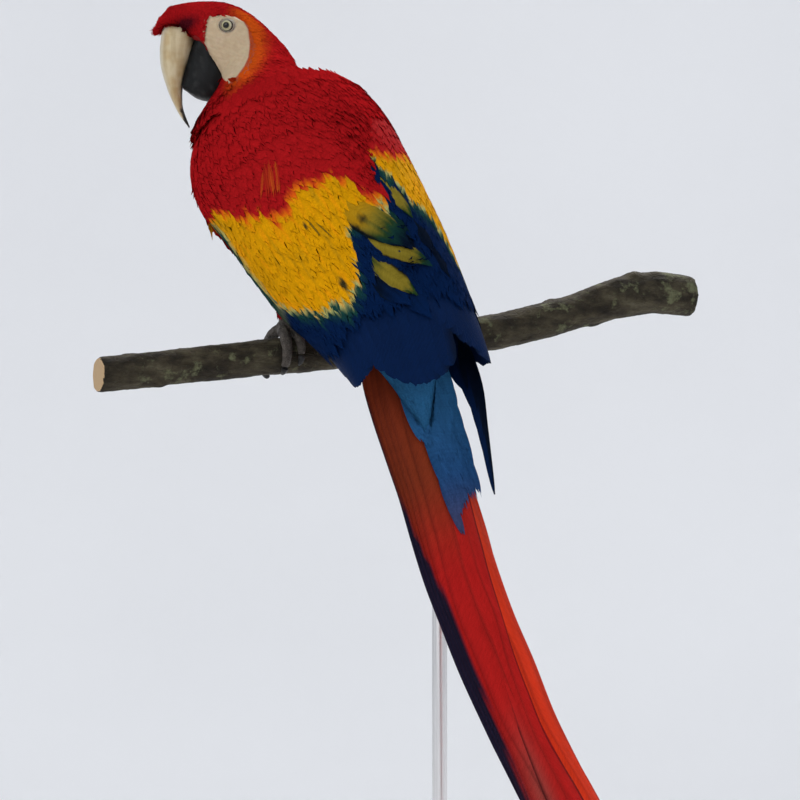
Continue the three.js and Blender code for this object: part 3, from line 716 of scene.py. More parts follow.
# Where the wings' inner forms end, the skin is drawn in under the coverts.
bird_points = to_bird(skin_points)
wing_stump = smooth_step(-np.abs(bird_points[:, 2] - ARM_END), -12, -5)
bird_points[:, :2] *= 1 - 0.07 * wing_stump[:, None]
skin_points = from_bird(bird_points)

# Lids: the skin opens over each eye, with a raised margin, a groove and a soft ring round it.
head_points = to_face(skin_points)
from_eye = np.hypot(head_points[:, 1] / 1.06, head_points[:, 2] / 0.96)
near_eye = (from_eye < 11) & (np.abs(head_points[:, 0]) > 15)
cover = EYE_OUT + np.sqrt(np.clip(EYE_RADIUS**2 - from_eye**2, 0, None))
lid = np.interp(
    from_eye, [0, 4.0, 4.35, 4.9, 5.6, 6.4, 7.1, 7.9, 8.6, 9.6],
    [-5, -5, -1.2, 0.75, 1.0, 0.35, -0.25, 0.35, 0.45, 0]
)
cheek = np.abs(head_points[:, 0])
lidded = np.where(from_eye < 6.0, cover + lid, cheek + lid * 0.8)
share = smooth_step(-from_eye, -7.2, -5.6)
outward = cheek * (1 - share) + lidded * share + np.where(from_eye >= 5.6, lid * 0.8, 0) * (1 - share)
head_points[near_eye, 0] = (np.sign(head_points[:, 0]) * outward)[near_eye]
# Fine folds run back and down over the cheek.
fold_run = head_points[:, 2] * 0.85 - head_points[:, 1] * -0.35
fold = np.sin(fold_run * 2.1 + 1.2 * cloudy(head_points, 18, 5)) * 0.10 + 0.16 * cloudy(head_points, 9, 6)
away_from_eye = smooth_step(from_eye, 8.5, 12)
head_points[:, 0] += np.sign(head_points[:, 0]) * fold * smooth_step(
    bare_face(skin_points), 0, 3
) * away_from_eye
skin_points = np.where((bare > 0)[:, None], from_face(head_points), skin_points)
move_corners(skin.data, skin_points)


def colour_corners(mesh, name, colours):
    layer = mesh.color_attributes.new(name, "FLOAT_COLOR", "POINT")
    full = np.ones((len(colours), 4), np.float32)
    full[:, :3] = colours
    layer.data.foreach_set("color", full.ravel())


bare = smooth_step(bare_face(skin_points), -0.8, 0.6)
face_tone = blend(
    BARE_WHITE, np.array([0.56, 0.43, 0.33]), 0.35 * smooth_step(cloudy(head_points, 14, 7), 0, 1)
)
eye_ring = np.exp(-((from_eye - 5.4) ** 2) / 1.6) * (np.abs(head_points[:, 0]) > 15)
face_tone = blend(face_tone, np.array([0.22, 0.20, 0.18]), 0.8 * eye_ring)
# The skin under the coat takes the bird's markings at 0.62 of their brightness: painted shade deep among the
# feathers.
skin_tone = blend(markings(skin_points) * 0.62, face_tone, bare)
colour_corners(skin.data, "Tone", skin_tone)

skin_finish, skin_tree, skin_shader = new_finish(
    "skin",
    {"Roughness": 0.6, "Specular IOR Level": 0.2, "Subsurface Weight": 0.12, "Subsurface Scale": 0.002}
)
skin_place = add_node(skin_tree, "ShaderNodeTexCoord").outputs["Object"]
skin_tone_node = add_node(skin_tree, "ShaderNodeAttribute", attribute_name="Tone")
skin_pores = add_node(skin_tree, "ShaderNodeTexVoronoi", {"Vector": skin_place, "Scale": 1300.0})
skin_vein = noise(skin_tree, skin_place, 260.0, 5.0)
tinted(
    skin_tree, skin_shader, skin_tone_node.outputs["Color"],
    ramp(skin_tree, skin_vein.outputs["Fac"], [(0.3, (0.86, 0.82, 0.80)), (0.65, (1, 1, 1))]), 0.8
)
raised_by(skin_tree, skin_shader, skin_pores.outputs["Distance"], 0.35, 0.0004)
settle(skin, "skin", skin_finish, "plumage", "head", "neck", "trunk", "thigh_left", "thigh_right")

# ------------------------------------------------------------------ bill
# A great hooked upper bill of pale horn with a black tip and cutting edge, over a short black
# lower bill that tucks up inside it. Both grow from the skull and carry fine growth lines.
# Distances ahead of the eyes and above them, in millimetres, from the brow to the tip.
UPPER_RIDGE = [
    (50, 8), (54.6, 0), (56.4, -12), (56.4, -24), (54.2, -36), (50.2, -48.5), (45.8, -59), (40.6, -68.5),
    (32.8, -79.5),
]
UPPER_EDGE = [
    (22, 0), (27, -6.5), (30.5, -15), (33.5, -26), (36, -36), (37.9, -45), (38.4, -54), (37.4, -64.5),
    (32.2, -78.2),
]
UPPER_WIDTH = [(0, 14.5), (0.35, 13.5), (0.6, 10.5), (0.8, 6), (1, 0.8)]
LOWER_INSIDE = [(22, 0), (29, -8), (33, -20), (36, -31), (38.4, -40), (39, -44)]
LOWER_KEEL = [(12, -14), (4, -28), (-1.5, -43), (9, -56.5), (24, -56.5), (37.4, -48)]
LOWER_WIDTH = [(0, 13), (0.4, 14.5), (0.7, 12.5), (1, 8)]


def through(table, t):
    """Places on a smooth curve through points, from its start at 0 to its end at 1."""
    points = np.array(table, float)
    run = np.clip(t, 0, 1) * (len(points) - 1)
    i = np.clip(np.floor(run).astype(int), 0, len(points) - 2)
    w = (run - i)[:, None]
    p0, p1 = points[np.maximum(i - 1, 0)], points[i]
    p2, p3 = points[i + 1], points[np.minimum(i + 2, len(points) - 1)]
    v0, v1 = (p2 - p0) / 2, (p3 - p1) / 2
    v0 = np.where((i == 0)[:, None], p2 - p1, v0)
    v1 = np.where((i == len(points) - 2)[:, None], p2 - p1, v1)
    return (2 * p1 - 2 * p2 + v0 + v1) * w**3 + (-3 * p1 + 3 * p2 - 2 * v0 - v1) * w**2 + v0 * w + p1


def table_values(rows, t):
    """A table's values at t, on a smooth curve through its rows."""
    rows = np.array(rows, float)
    if rows[0, 0] > rows[-1, 0]:
        rows = rows[::-1]
    places, values = rows[:, 0], rows[:, 1:]
    t = np.clip(np.asarray(t, float), places[0], places[-1])
    i = np.clip(np.searchsorted(places, t, side="right") - 1, 0, len(places) - 2)
    before, after = np.maximum(np.arange(len(places)) - 1, 0), np.minimum(
        np.arange(len(places)) + 1, len(places) - 1
    )
    slopes = (values[after] - values[before]) / (places[after] - places[before])[:, None]
    span = (places[i + 1] - places[i])[..., None]
    s = (t - places[i])[..., None] / span
    rise = (2 * s**3 - 3 * s**2 + 1) * values[i] + (3 * s**2 - 2 * s**3) * values[i + 1]
    return rise + (s**3 - 2 * s**2 + s) * slopes[i] * span + (s**3 - s**2) * slopes[i + 1] * span


def grid_mesh(name, points, quads):
    """A mesh from arrays of corners in millimetres and of four-cornered faces."""
    mesh = bpy.data.meshes.new(name)
    mesh.vertices.add(len(points))
    mesh.vertices.foreach_set("co", (points / 1000).astype(np.float32).ravel())
    mesh.loops.add(len(quads) * 4)
    mesh.loops.foreach_set("vertex_index", quads.astype(np.int32).ravel())
    mesh.polygons.add(len(quads))
    mesh.polygons.foreach_set("loop_start", np.arange(0, len(quads) * 4, 4, dtype=np.int32))
    mesh.polygons.foreach_set("use_smooth", np.ones(len(quads), bool))
    mesh.update(calc_edges=True)
    mesh.validate()
    return mesh


def horn(name, upper, lower, widths, squareness, rings=72, around=48):
    """A horn between two profile curves, closed by a small ring at each end."""
    t = np.linspace(0, 1, rings)
    a, b = through(upper, t), through(lower, t)
    half_width = table_values(widths, t)[:, 0]
    turn = np.linspace(0, 2 * math.pi, around, endpoint=False)
    c, s = np.cos(turn), np.sin(turn)
    across = np.sign(s) * np.abs(s) ** squareness
    down = np.sign(c) * np.abs(c) ** 1.0
    middle, half = (a + b) / 2, (a - b) / 2
    points = np.empty((rings, around, 3))
    points[..., 0] = half_width[:, None] * across
    points[..., 1] = -(middle[:, :1] + half[:, :1] * down)
    points[..., 2] = middle[:, 1:] + half[:, 1:] * down
    ends = []
    for ring in (0, -1):
        hub = points[ring].mean(axis=0)
        ends.append(hub + (points[ring] - hub) * 0.02)
    rows = np.concatenate([[ends[0]], points, [ends[1]]])
    count = len(rows)
    r, k = np.meshgrid(np.arange(count - 1), np.arange(around), indexing="ij")
    corner = lambda i, j: i * around + j % around
    quads = np.stack(
        [corner(r, k), corner(r, k + 1), corner(r + 1, k + 1), corner(r + 1, k)], axis=-1
    ).reshape(-1, 4)
    piece = bpy.data.objects.new(name, grid_mesh(name, from_face(rows.reshape(-1, 3)), quads))
    bpy.context.collection.objects.link(piece)
    start_shape()
    piece.select_set(True)
    bpy.context.view_layer.objects.active = piece
    bpy.ops.object.mode_set(mode="EDIT")
    bpy.ops.mesh.select_all(action="SELECT")
    bpy.ops.mesh.normals_make_consistent(inside=False)
    bpy.ops.object.mode_set(mode="OBJECT")
    along = np.repeat(np.concatenate([[0], t, [1]]), around)
    towards_ridge = np.tile(c, count)
    return piece, along, towards_ridge


def horn_finish(name, roughness, shine):
    """Layered horn: growth lines round it, faint streaks along it and worn patches in its polish."""
    finish, tree, shader = new_finish(
        name, {"Specular IOR Level": shine, "Coat Weight": 0.04, "Coat Roughness": 0.35}
    )
    place = add_node(tree, "ShaderNodeTexCoord").outputs["Object"]
    tone = add_node(tree, "ShaderNodeAttribute", attribute_name="Tone")
    growth = add_node(tree, "ShaderNodeAttribute", attribute_name="Growth")
    streak_place = add_node(tree, "ShaderNodeMapping", {"Vector": place, "Scale": (260.0, 260.0, 60.0)})
    streak = noise(tree, streak_place.outputs["Vector"], 1.0, 5.0)
    cloud = noise(tree, place, 120.0, 4.0)
    lines = add_node(
        tree, "ShaderNodeTexNoise", {"W": growth.outputs["Fac"], "Scale": 46.0, "Detail": 4.0},
        noise_dimensions="1D"
    )
    tinted(
        tree, shader, tone.outputs["Color"],
        ramp(tree, streak.outputs["Fac"], [(0.3, (0.80, 0.76, 0.68)), (0.62, (1, 1, 1))])
    )
    tree.links.new(
        ramp(tree, cloud.outputs["Fac"], [(0.3, (roughness - 0.1,) * 3), (0.7, (roughness + 0.14,) * 3)]),
        shader.inputs["Roughness"]
    )
    height = maths(tree, "ADD", lines.outputs["Fac"], streak.outputs["Fac"])
    raised_by(tree, shader, height.outputs[0], 0.35, 0.0006)
    return finish


def mark_growth(mesh, along):
    layer = mesh.attributes.new("Growth", "FLOAT", "POINT")
    layer.data.foreach_set("value", along.astype(np.float32))


pale_horn, black_horn = horn_finish("pale_horn", 0.40, 0.22), horn_finish("black_horn", 0.50, 0.12)
upper_bill, along_bill, ridge = horn("upper_bill", UPPER_RIDGE, UPPER_EDGE, UPPER_WIDTH, 0.82)
bill_points, bill_out = corners_of(upper_bill.data)
# A tooth on the cutting edge, a shallow groove beside the ridge and slight unevenness in the layers.
side_dip = np.exp(
    -((ridge - 0.62) ** 2) / 0.03
) * smooth_step(along_bill, 0.05, 0.2) * smooth_step(-along_bill, -0.9, -0.6)
bill_points = bill_points + bill_out * (0.16 * cloudy(bill_points, 15, 11) - 0.35 * side_dip)[:, None]
move_corners(upper_bill.data, bill_points)
cream = blend(
    np.array([0.47, 0.39, 0.25]), np.array([0.40, 0.29, 0.145]),
    smooth_step(cloudy(bill_points, 20, 12), -0.3, 0.8)
)
# Paler and greyer along the ridge: painted light from the sky on the bill's top.
cream = blend(cream, np.array([0.50, 0.48, 0.41]), 0.7 * smooth_step(ridge, 0.55, 0.95))
cream = blend(cream, np.array([0.45, 0.36, 0.24]), 0.5 * smooth_step(-along_bill, -0.06, -0.01))
dark_tip = smooth_step(
    along_bill + 0.05 * cloudy(bill_points, 7, 13) - 0.10 * (ridge > 0) * ridge, 0.80, 0.90
)
dark_edge = smooth_step(-ridge, 0.78, 0.97) * smooth_step(along_bill, 0.30, 0.5)
dark_base = smooth_step(-ridge, 0.55, 0.9) * smooth_step(-along_bill, -0.28, -0.10)
dark = np.clip(dark_tip + dark_edge + dark_base, 0, 1)
colour_corners(upper_bill.data, "Tone", blend(cream, np.array([0.018, 0.017, 0.016]), dark))
mark_growth(upper_bill.data, along_bill)
settle(upper_bill, "upper_bill", pale_horn, "pale_horn", "bill_upper")

lower_bill, along_bill, ridge = horn("lower_bill", LOWER_INSIDE, LOWER_KEEL, LOWER_WIDTH, 0.85)
bill_points, bill_out = corners_of(lower_bill.data)
keel_dip = np.exp(-((ridge + 0.35) ** 2) / 0.06)
bill_points = bill_points + bill_out * (0.2 * cloudy(bill_points, 12, 14) - 0.3 * keel_dip - 0.15)[:, None]
move_corners(lower_bill.data, bill_points)
worn = smooth_step(cloudy(bill_points, 9, 15), 0.1, 0.9)
colour_corners(
    lower_bill.data, "Tone", blend(np.array([0.007, 0.008, 0.009]), np.array([0.020, 0.022, 0.023]), worn)
)
mark_growth(lower_bill.data, along_bill)
settle(lower_bill, "lower_bill", black_horn, "black_horn", "bill_lower")

# ------------------------------------------------------------------ eyes
# Glass eyes: a ball with a slight dome in front, a pale straw-grey iris with fine spokes, a dark
# rim round it and a black pupil, set in the lids.
PUPIL = 2.35
EYE_LOOK = math.radians(6)

eye_glass, eye_tree, eye_shader = new_finish(
    "eye_glass", {
        "Roughness": 0.2, "Specular IOR Level": 0.2, "Coat Weight": 0.45, "Coat Roughness": 0.03,
        "Coat IOR": 1.36
    }
)
gaze = add_node(eye_tree, "ShaderNodeAttribute", attribute_name="Gaze")
spoke = add_node(eye_tree, "ShaderNodeAttribute", attribute_name="Spoke")
spoke_noise = add_node(
    eye_tree, "ShaderNodeTexNoise", {"W": spoke.outputs["Fac"], "Scale": 9.0, "Detail": 5.0},
    noise_dimensions="1D"
)
iris_tone = ramp(eye_tree, gaze.outputs["Fac"], [
    (0.0, (0.002, 0.002, 0.002)), (PUPIL / 10 - 0.008, (0.002, 0.002, 0.002)),
    (PUPIL / 10 + 0.008, (0.10, 0.085, 0.04)),
    (0.27, (0.34, 0.31, 0.17)), (0.36, (0.52, 0.49, 0.33)), (0.415, (0.30, 0.28, 0.20)),
    (0.445, (0.015, 0.013, 0.012)),
    (1.0, (0.02, 0.016, 0.014)),
])
tinted(
    eye_tree, eye_shader, iris_tone,
    ramp(eye_tree, spoke_noise.outputs["Fac"], [(0.35, (0.6, 0.58, 0.5)), (0.62, (1, 1, 1))])
)
for side, name in ((1, "left"), (-1, "right")):
    start_shape()
    bpy.ops.mesh.primitive_uv_sphere_add(
        segments=64, ring_count=48, radius=EYE_RADIUS / 1000, location=(0, 0, 0)
    )
    eye = bpy.context.object
    ball, _ = corners_of(eye.data)
    wide = np.hypot(ball[:, 0], ball[:, 1])
    front = ball[:, 2] > 0
    ball[:, 2] += np.where(front, 0.30 * smooth_step(-wide, -4.6, -2.0), 0)
    spokes = np.arctan2(ball[:, 1], ball[:, 0])
    way = np.array([math.cos(EYE_LOOK) * side, -math.sin(EYE_LOOK), 0.0])
    up = np.array([0.0, 0.0, 1.0])
    third = np.cross(up, way)
    placed = ball[:, :1] * third + ball[:, 1:2] * up + ball[:, 2:] * way + np.array(
        [side * EYE_OUT, 0.0, 0.0]
    )
    move_corners(eye.data, from_face(placed))
    for attribute, values in (("Gaze", np.where(front, wide, 9) / 10), ("Spoke", np.abs(spokes) * 1.7)):
        layer = eye.data.attributes.new(attribute, "FLOAT", "POINT")
        layer.data.foreach_set("value", values.astype(np.float32))
    bpy.ops.object.shade_smooth()
    settle(eye, f"eye_{name}_glass", eye_glass, "eye", f"eye_{name}")

# ------------------------------------------------------------------ feet
# Two strong feet, each with two toes before the branch and two behind, covered in grey scaly
# skin and ending in curved black claws.
foot_skin, foot_tree, foot_shader = new_finish("foot_skin", {"Specular IOR Level": 0.4})
foot_place = add_node(foot_tree, "ShaderNodeTexCoord").outputs["Object"]
scales = add_node(
    foot_tree, "ShaderNodeTexVoronoi", {"Vector": foot_place, "Scale": 720.0}, feature="DISTANCE_TO_EDGE"
)
scale_cells = add_node(foot_tree, "ShaderNodeTexVoronoi", {"Vector": foot_place, "Scale": 720.0})
foot_cloud = noise(foot_tree, foot_place, 160.0, 4.0)
scale_gap = ramp(foot_tree, scales.outputs["Distance"], [(0.0, (0.25, 0.24, 0.22)), (0.14, (1, 1, 1))])
scale_tone = ramp(
    foot_tree, foot_cloud.outputs["Fac"], [(0.3, (0.030, 0.025, 0.021)), (0.7, (0.095, 0.078, 0.064))]
)
tinted(foot_tree, foot_shader, scale_tone, scale_gap)
foot_tree.links.new(
    ramp(foot_tree, scale_cells.outputs["Distance"], [(0.0, (0.45,) * 3), (0.6, (0.7,) * 3)]),
    foot_shader.inputs["Roughness"]
)
scale_rise = maths(foot_tree, "MINIMUM", scales.outputs["Distance"], 0.22)
raised_by(foot_tree, foot_shader, scale_rise.outputs[0], 0.9, 0.0022)
for name in ("left", "right"):
    foot = refined(copied(f"foot_{name}_skin", f"foot_{name}"), 0.0008, 8)
    toe_points, toe_out = corners_of(foot.data)
    knuckles = 0.35 * cloudy(toe_points, 11, 21) + 0.12 * cloudy(toe_points, 4, 22)
    move_corners(foot.data, toe_points + toe_out * (knuckles + 0.2)[:, None])
    settle(foot, f"foot_{name}_skin", foot_skin, "foot_skin", f"foot_{name}")
    for toe in ("inner_front", "outer_front", "inner_back", "outer_back"):
        claw = refined(copied(f"claw_{toe}_{name}", f"claw_{name}_{toe}"), 0.00045, 6, swell=0.00012)
        claw_points, _ = corners_of(claw.data)
        claw_tone = blend(
            np.array([0.012, 0.012, 0.013]), np.array([0.05, 0.047, 0.043]),
            smooth_step(cloudy(claw_points, 6, 23), 0.2, 0.9)
        )
        colour_corners(claw.data, "Tone", claw_tone)
        mark_growth(claw.data, claw_points[:, 2] * 0.1)
        settle(claw, f"talon_{name}_{toe}", black_horn, "claw_horn", f"claw_{name}_{toe}")

# ------------------------------------------------------------------ coat
# The contour feathers of head, neck, breast, belly and thighs: soft rounded vanes with frayed
# tips, each rooted in the skin and lying back over the next, tiny on the face and larger below.
FULL_LENGTH, FULL_HALF, FULL_APART = 15.0, 3.7, 3.3


def barbs_group():
    """Shader group: fine barbs slanting off a feather's shaft, from the place across and along its vane."""
    group = bpy.data.node_groups.new("barbs", "ShaderNodeTree")
    group.interface.new_socket("Vane", in_out="INPUT", socket_type="NodeSocketVector")
    group.interface.new_socket("Slant", in_out="INPUT", socket_type="NodeSocketFloat")
    group.interface.new_socket("Shade", in_out="OUTPUT", socket_type="NodeSocketFloat")
    group.interface.new_socket("Height", in_out="OUTPUT", socket_type="NodeSocketFloat")
    start = group.nodes.new("NodeGroupInput")
    end = group.nodes.new("NodeGroupOutput")
    place = add_node(group, "ShaderNodeSeparateXYZ", {"Vector": start.outputs["Vane"]})
    across = maths(group, "ABSOLUTE", place.outputs["X"])
    slanted = maths(group, "MULTIPLY", across.outputs[0], start.outputs["Slant"])
    barb = maths(group, "SUBTRACT", place.outputs["Y"], slanted.outputs[0])
    sideways = maths(group, "MULTIPLY", place.outputs["X"], 0.25)
    barb_place = add_node(
        group, "ShaderNodeCombineXYZ",
        {"X": barb.outputs[0], "Y": sideways.outputs[0], "Z": place.outputs["Z"]}
    )
    coarse = noise(group, barb_place.outputs[0], 0.55, 2.0)
    fine = noise(group, barb_place.outputs[0], 2.3, 2.0)
    both = maths(group, "ADD", coarse.outputs["Fac"], fine.outputs["Fac"])
    shaft = add_node(
        group, "ShaderNodeMapRange",
        {"Value": across.outputs[0], "From Min": 0.15, "From Max": 0.55, "To Min": 1.0, "To Max": 0.0}
    )
    raised = maths(group, "ADD", both.outputs[0], shaft.outputs["Result"])
    shade = maths(group, "MULTIPLY", both.outputs[0], 0.5)
    group.links.new(shade.outputs[0], end.inputs["Shade"])
    group.links.new(raised.outputs[0], end.inputs["Height"])
    return group


BARBS = barbs_group()


def feather_finish(name, settings, slant, dark, barb_rise):
    """A feather's tone, darkened and raised by the barbs that slant off its shaft."""
    finish, tree, shader = new_finish(name, settings)
    tone = add_node(tree, "ShaderNodeAttribute", attribute_name="Tone")
    vane = add_node(tree, "ShaderNodeUVMap", uv_map="Vane")
    barbs = add_node(tree, "ShaderNodeGroup", node_tree=BARBS)
    tree.links.new(vane.outputs["UV"], barbs.inputs["Vane"])
    barbs.inputs["Slant"].default_value = slant
    tinted(
        tree, shader, tone.outputs["Color"],
        ramp(tree, barbs.outputs["Shade"], [(0.36, (dark,) * 3), (0.60, (1, 1, 1))])
    )
    raised_by(tree, shader, barbs.outputs["Height"], barb_rise, 0.0005)
    return finish


soft_feather = feather_finish(
    "contour_feathers", {"Roughness": 0.8, "Specular IOR Level": 0.0}, 0.35, 0.76, 0.35
)


def unit(vectors):
    return vectors / np.maximum(np.linalg.norm(vectors, axis=-1, keepdims=True), 1e-9)


def vanes(roots, along, outs, length, half, lift, curl, rows, cols, rng, fray=0.12, camber=0.16, blunt=0.55):
    """Feathers as curved sheets: corners by feather, row and column, with places across and along each vane."""
    count = len(roots)
    t = np.linspace(0, 1, rows + 1)[None, :, None]
    c = np.linspace(-1, 1, cols)[None, None, :]
    side = unit(np.cross(along, outs))
    width = np.clip(t * 5 + 0.25, 0, 1) * np.sqrt(
        np.clip(1 - np.clip((t - blunt) / (1.04 - blunt), 0, 1) ** 2, 0, 1)
    )
    tip = 1 + rng.normal(0, fray, (count, 1, cols)) * t**3
    reach = length[:, None, None] * t * (1 - 0.22 * c**2 * t**2) * tip
    across = half[:, None, None] * c * (0.30 + 0.70 * width) * (
        1 + rng.normal(0, 0.05, (count, rows + 1, cols))
    )
    rise = length[:, None, None] * (lift[:, None, None] * t - curl[:, None, None] * t**2)
    rise = rise - camber * half[:, None, None] * c**2 * np.ones_like(t)
    points = roots[:, None, None] + side[:, None, None] * across[..., None]
    points = points + along[:, None, None] * reach[..., None] + outs[:, None, None] * rise[..., None]
    return points, across, reach * np.ones_like(c)


def feather_piece(name, batches, look, slot_name, patch=0.003):
    """One mesh of feathers with their tones, their vane places and their patches on the unwrapped skin."""
    corners, quads, tones, vane_places, patches = [], [], [], [], []
    start = 0
    for points, across, along, colour, home in batches:
        count, rows, cols = points.shape[:3]
        n, r, c = np.meshgrid(np.arange(count), np.arange(rows - 1), np.arange(cols - 1), indexing="ij")
        first = start + n * rows * cols + r * cols + c
        quads.append(np.stack([first, first + 1, first + cols + 1, first + cols], axis=-1).reshape(-1, 4))
        corners.append(points.reshape(-1, 3))
        tones.append(np.broadcast_to(colour, points.shape).reshape(-1, 3))
        vane_places.append(np.stack([across, along], axis=-1).reshape(-1, 2))
        middle, size = home if isinstance(home, tuple) else (home, patch)
        u = np.linspace(-0.5, 0.5, cols)[None, None, :]
        v = np.linspace(-0.5, 0.5, rows)[None, :, None]
        wide, tall = (size, size) if np.ndim(size) == 0 else size
        spot = np.stack(
            [middle[:, 0, None, None] + u * wide + 0 * v, middle[:, 1, None, None] + v * tall + 0 * u],
            axis=-1
        )
        patches.append(spot.reshape(-1, 2))
        start += points.size // 3
    corners, quads = np.concatenate(corners), np.concatenate(quads)
    mesh = grid_mesh(name, corners, quads)
    colour_corners(mesh, "Tone", np.clip(np.concatenate(tones), 0, 1))
    for layer_name, values in (
        ("Vane", np.concatenate(vane_places)), ("OFBake", np.clip(np.concatenate(patches), 0.001, 0.999))
    ):
        layer = mesh.uv_layers.new(name=layer_name)
        layer.data.foreach_set("uv", values[quads.ravel()].astype(np.float32).ravel())
    piece = bpy.data.objects.new(name, mesh)
    bpy.context.collection.objects.link(piece)
    settle(piece, name, look, slot_name)
    return piece


# Roots are strewn over the skin, closer together where the feathers are smaller.
skin.data.calc_loop_triangles()
corner_ids = np.empty(len(skin.data.loop_triangles) * 3, np.int32)
skin.data.loop_triangles.foreach_get("vertices", corner_ids)
corner_ids = corner_ids.reshape(-1, 3)
skin_points, skin_out = corners_of(skin.data)


def feather_size(points):
    """Share of a full breast feather's size, smallest by the bill and the ankles."""
    bird, face = to_bird(points), to_face(points)
    size = np.interp(bird[:, 2], [60, 95, 120, 140, 160], [1.0, 0.86, 0.62, 0.5, 0.46])
    size = size - 0.20 * smooth_step(-face[:, 1], -20, 35) * smooth_step(bird[:, 2], 110, 140)
    shin = smooth_step(-points[:, 2], -590, -548)
    return size * (1 - 0.5 * shin)


def strewn(rng, allowed, apart):
    """Places on the skin at least a given share of their own feather's size apart."""
    middles = skin_points[corner_ids].mean(axis=1)
    tri = skin_points[corner_ids]
    area = np.linalg.norm(np.cross(tri[:, 1] - tri[:, 0], tri[:, 2] - tri[:, 0]), axis=1) / 2
    size = feather_size(middles)
    weight = area / (apart * size) ** 2 * allowed(middles)
    tries = int(weight.sum() * 3.2)
    chosen = rng.choice(len(area), size=tries, p=weight / weight.sum())
    a, b = rng.random((2, tries))
    over = a + b > 1
    a[over], b[over] = 1 - a[over], 1 - b[over]
    ids = corner_ids[chosen]
    shares = np.stack([1 - a - b, a, b], axis=1)[..., None]
    places, outs = (skin_points[ids] * shares).sum(axis=1), unit((skin_out[ids] * shares).sum(axis=1))
    gap = apart * feather_size(places) * 0.80
    cell = apart
    grid, kept = {}, []
    keys = np.floor(places / cell).astype(int)
    near = [(i, j, k) for i in (-1, 0, 1) for j in (-1, 0, 1) for k in (-1, 0, 1)]
    for n in range(tries):
        x, y, z = keys[n]
        p, g = places[n], gap[n] ** 2
        crowded = False
        for i, j, k in near:
            for other in grid.get((x + i, y + j, z + k), ()):
                if (p[0] - other[0]) ** 2 + (p[1] - other[1]) ** 2 + (p[2] - other[2]) ** 2 < g:
                    crowded = True
                    break
            if crowded:
                break
        if not crowded:
            grid.setdefault((x, y, z), []).append(p)
            kept.append(n)
    return places[kept], outs[kept]


def lie(places, outs):
    """The way that feathers point: back from the bill over the head, then down the body."""
    from_bill = unit(to_face(places) - np.array([0.0, -42.0, -8.0])) @ FACE_TURN.T
    down = -np.broadcast_to(BIRD_TURN[:, 2], places.shape)
    share = smooth_step(to_bird(places)[:, 2], 88, 140)[:, None]
    way = from_bill * share + down * (1 - share)
    return unit(way - outs * (way * outs).sum(axis=1, keepdims=True))


def on_body(points):
    """Unwrap of neck, trunk and thighs: round the spine, and up it."""
    bird = to_bird(points)
    turn = np.arctan2(bird[:, 0], bird[:, 1] + 4) / (2 * math.pi)
    return np.stack([0.5 + 0.98 * turn, 0.02 + 0.96 * np.clip((bird[:, 2] + 215) / 400, 0, 1)], axis=1)


def on_skull(points):
    """Unwrap of the head: the back of the skull in the middle, the bill round the rim."""
    face = unit(to_face(points) - np.array([0.0, -5.0, -14.0]))
    reach = 0.48 * np.sqrt(np.clip((1 - face[:, 1]) / 2, 0, 1))
    ring = unit(face[:, [0, 2]])
    return 0.5 + ring * reach[:, None]


def contour(rng, places, outs, rows, cols, unwrap, grow=1.0, stand=0.0):
    size = feather_size(places) * grow * rng.uniform(0.88, 1.14, len(places))
    way = lie(places, outs)
    side = np.cross(way, outs)
    way = unit(way + side * rng.normal(0, 0.10, len(places))[:, None])
    ruffle = np.exp(-((to_bird(places) - np.array([-6.0, 62.0, 92.0])) ** 2).sum(axis=1) / (2 * 13.0**2))
    lift = 0.115 + rng.normal(0, 0.015, len(places)) + stand + 0.34 * ruffle
    curl = 0.060 + 0.10 * ruffle + rng.normal(0, 0.008, len(places))
    points, across, along = vanes(
        places, way, outs, FULL_LENGTH * size * (1 + 0.25 * ruffle), FULL_HALF * size, lift, curl, rows, cols,
        rng, 0.16
    )
    middle = points[:, -1, cols // 2]
    tone = markings(places * 0.4 + middle * 0.6)
    tone = tone * rng.uniform(0.92, 1.05, (len(places), 1)) * (1 + 0.10 * cloudy(places, 34, 12))[:, None]
    tone[:, 0] *= rng.uniform(0.95, 1.04, len(places))
    t = np.linspace(0, 1, rows + 1)[None, :, None, None]
    edge = np.abs(np.linspace(-1, 1, cols))[None, None, :, None]
    # Each feather is darker towards its root, painted shade under the feathers that lie over it, and a little
    # darker at its sides.
    colour = tone[:, None, None] * (0.84 + 0.18 * t) * (1 - 0.05 * edge**2)
    # Pale pinkish tips on the raised feathers of the nape: a painted highlight where light catches them.
    colour = blend(
        colour, np.array([0.62, 0.22, 0.17]),
        0.35 * ruffle[:, None, None] * t[..., 0] ** 3 * np.ones_like(edge[..., 0])
    )
    return points, across, along, colour, unwrap(places)


coat_rng = np.random.default_rng(7)


def head_room(points):
    bird = to_bird(points)
    face = to_face(points)
    clear = bare_face(points) < -0.25
    in_bill = (face[:, 1] < -20) & (face[:, 2] < -6) & (np.abs(face[:, 0]) < 16) & (face[:, 2] > -58)
    return clear & ~in_bill & (bird[:, 2] > 128)


def neck_room(points):
    bird = to_bird(points)
    return (bird[:, 2] <= 128) & (bird[:, 2] > 84) & (bare_face(points) < -0.9)


def body_room(points):
    bird = to_bird(points)
    turn = np.abs(np.degrees(np.arctan2(bird[:, 0], bird[:, 1])))
    inner = np.interp(bird[:, 2], [-20, 20, 55, 84], [3, 7, 18, 36]) + 7
    under_coverts = (turn > inner) & (turn < 118) & (bird[:, 2] < 44) & (
        np.hypot(bird[:, 0], bird[:, 1]) > 40
    )
    return (bird[:, 2] <= 84) & ~under_coverts


def coat_halves(name, on_left, batch):
    """A left and a right piece from one batch of feathers."""
    for half, chosen in (("left", on_left), ("right", ~on_left)):
        feather_piece(f"{name}_{half}", [tuple(values[chosen] for values in batch)], soft_feather, "plumage")


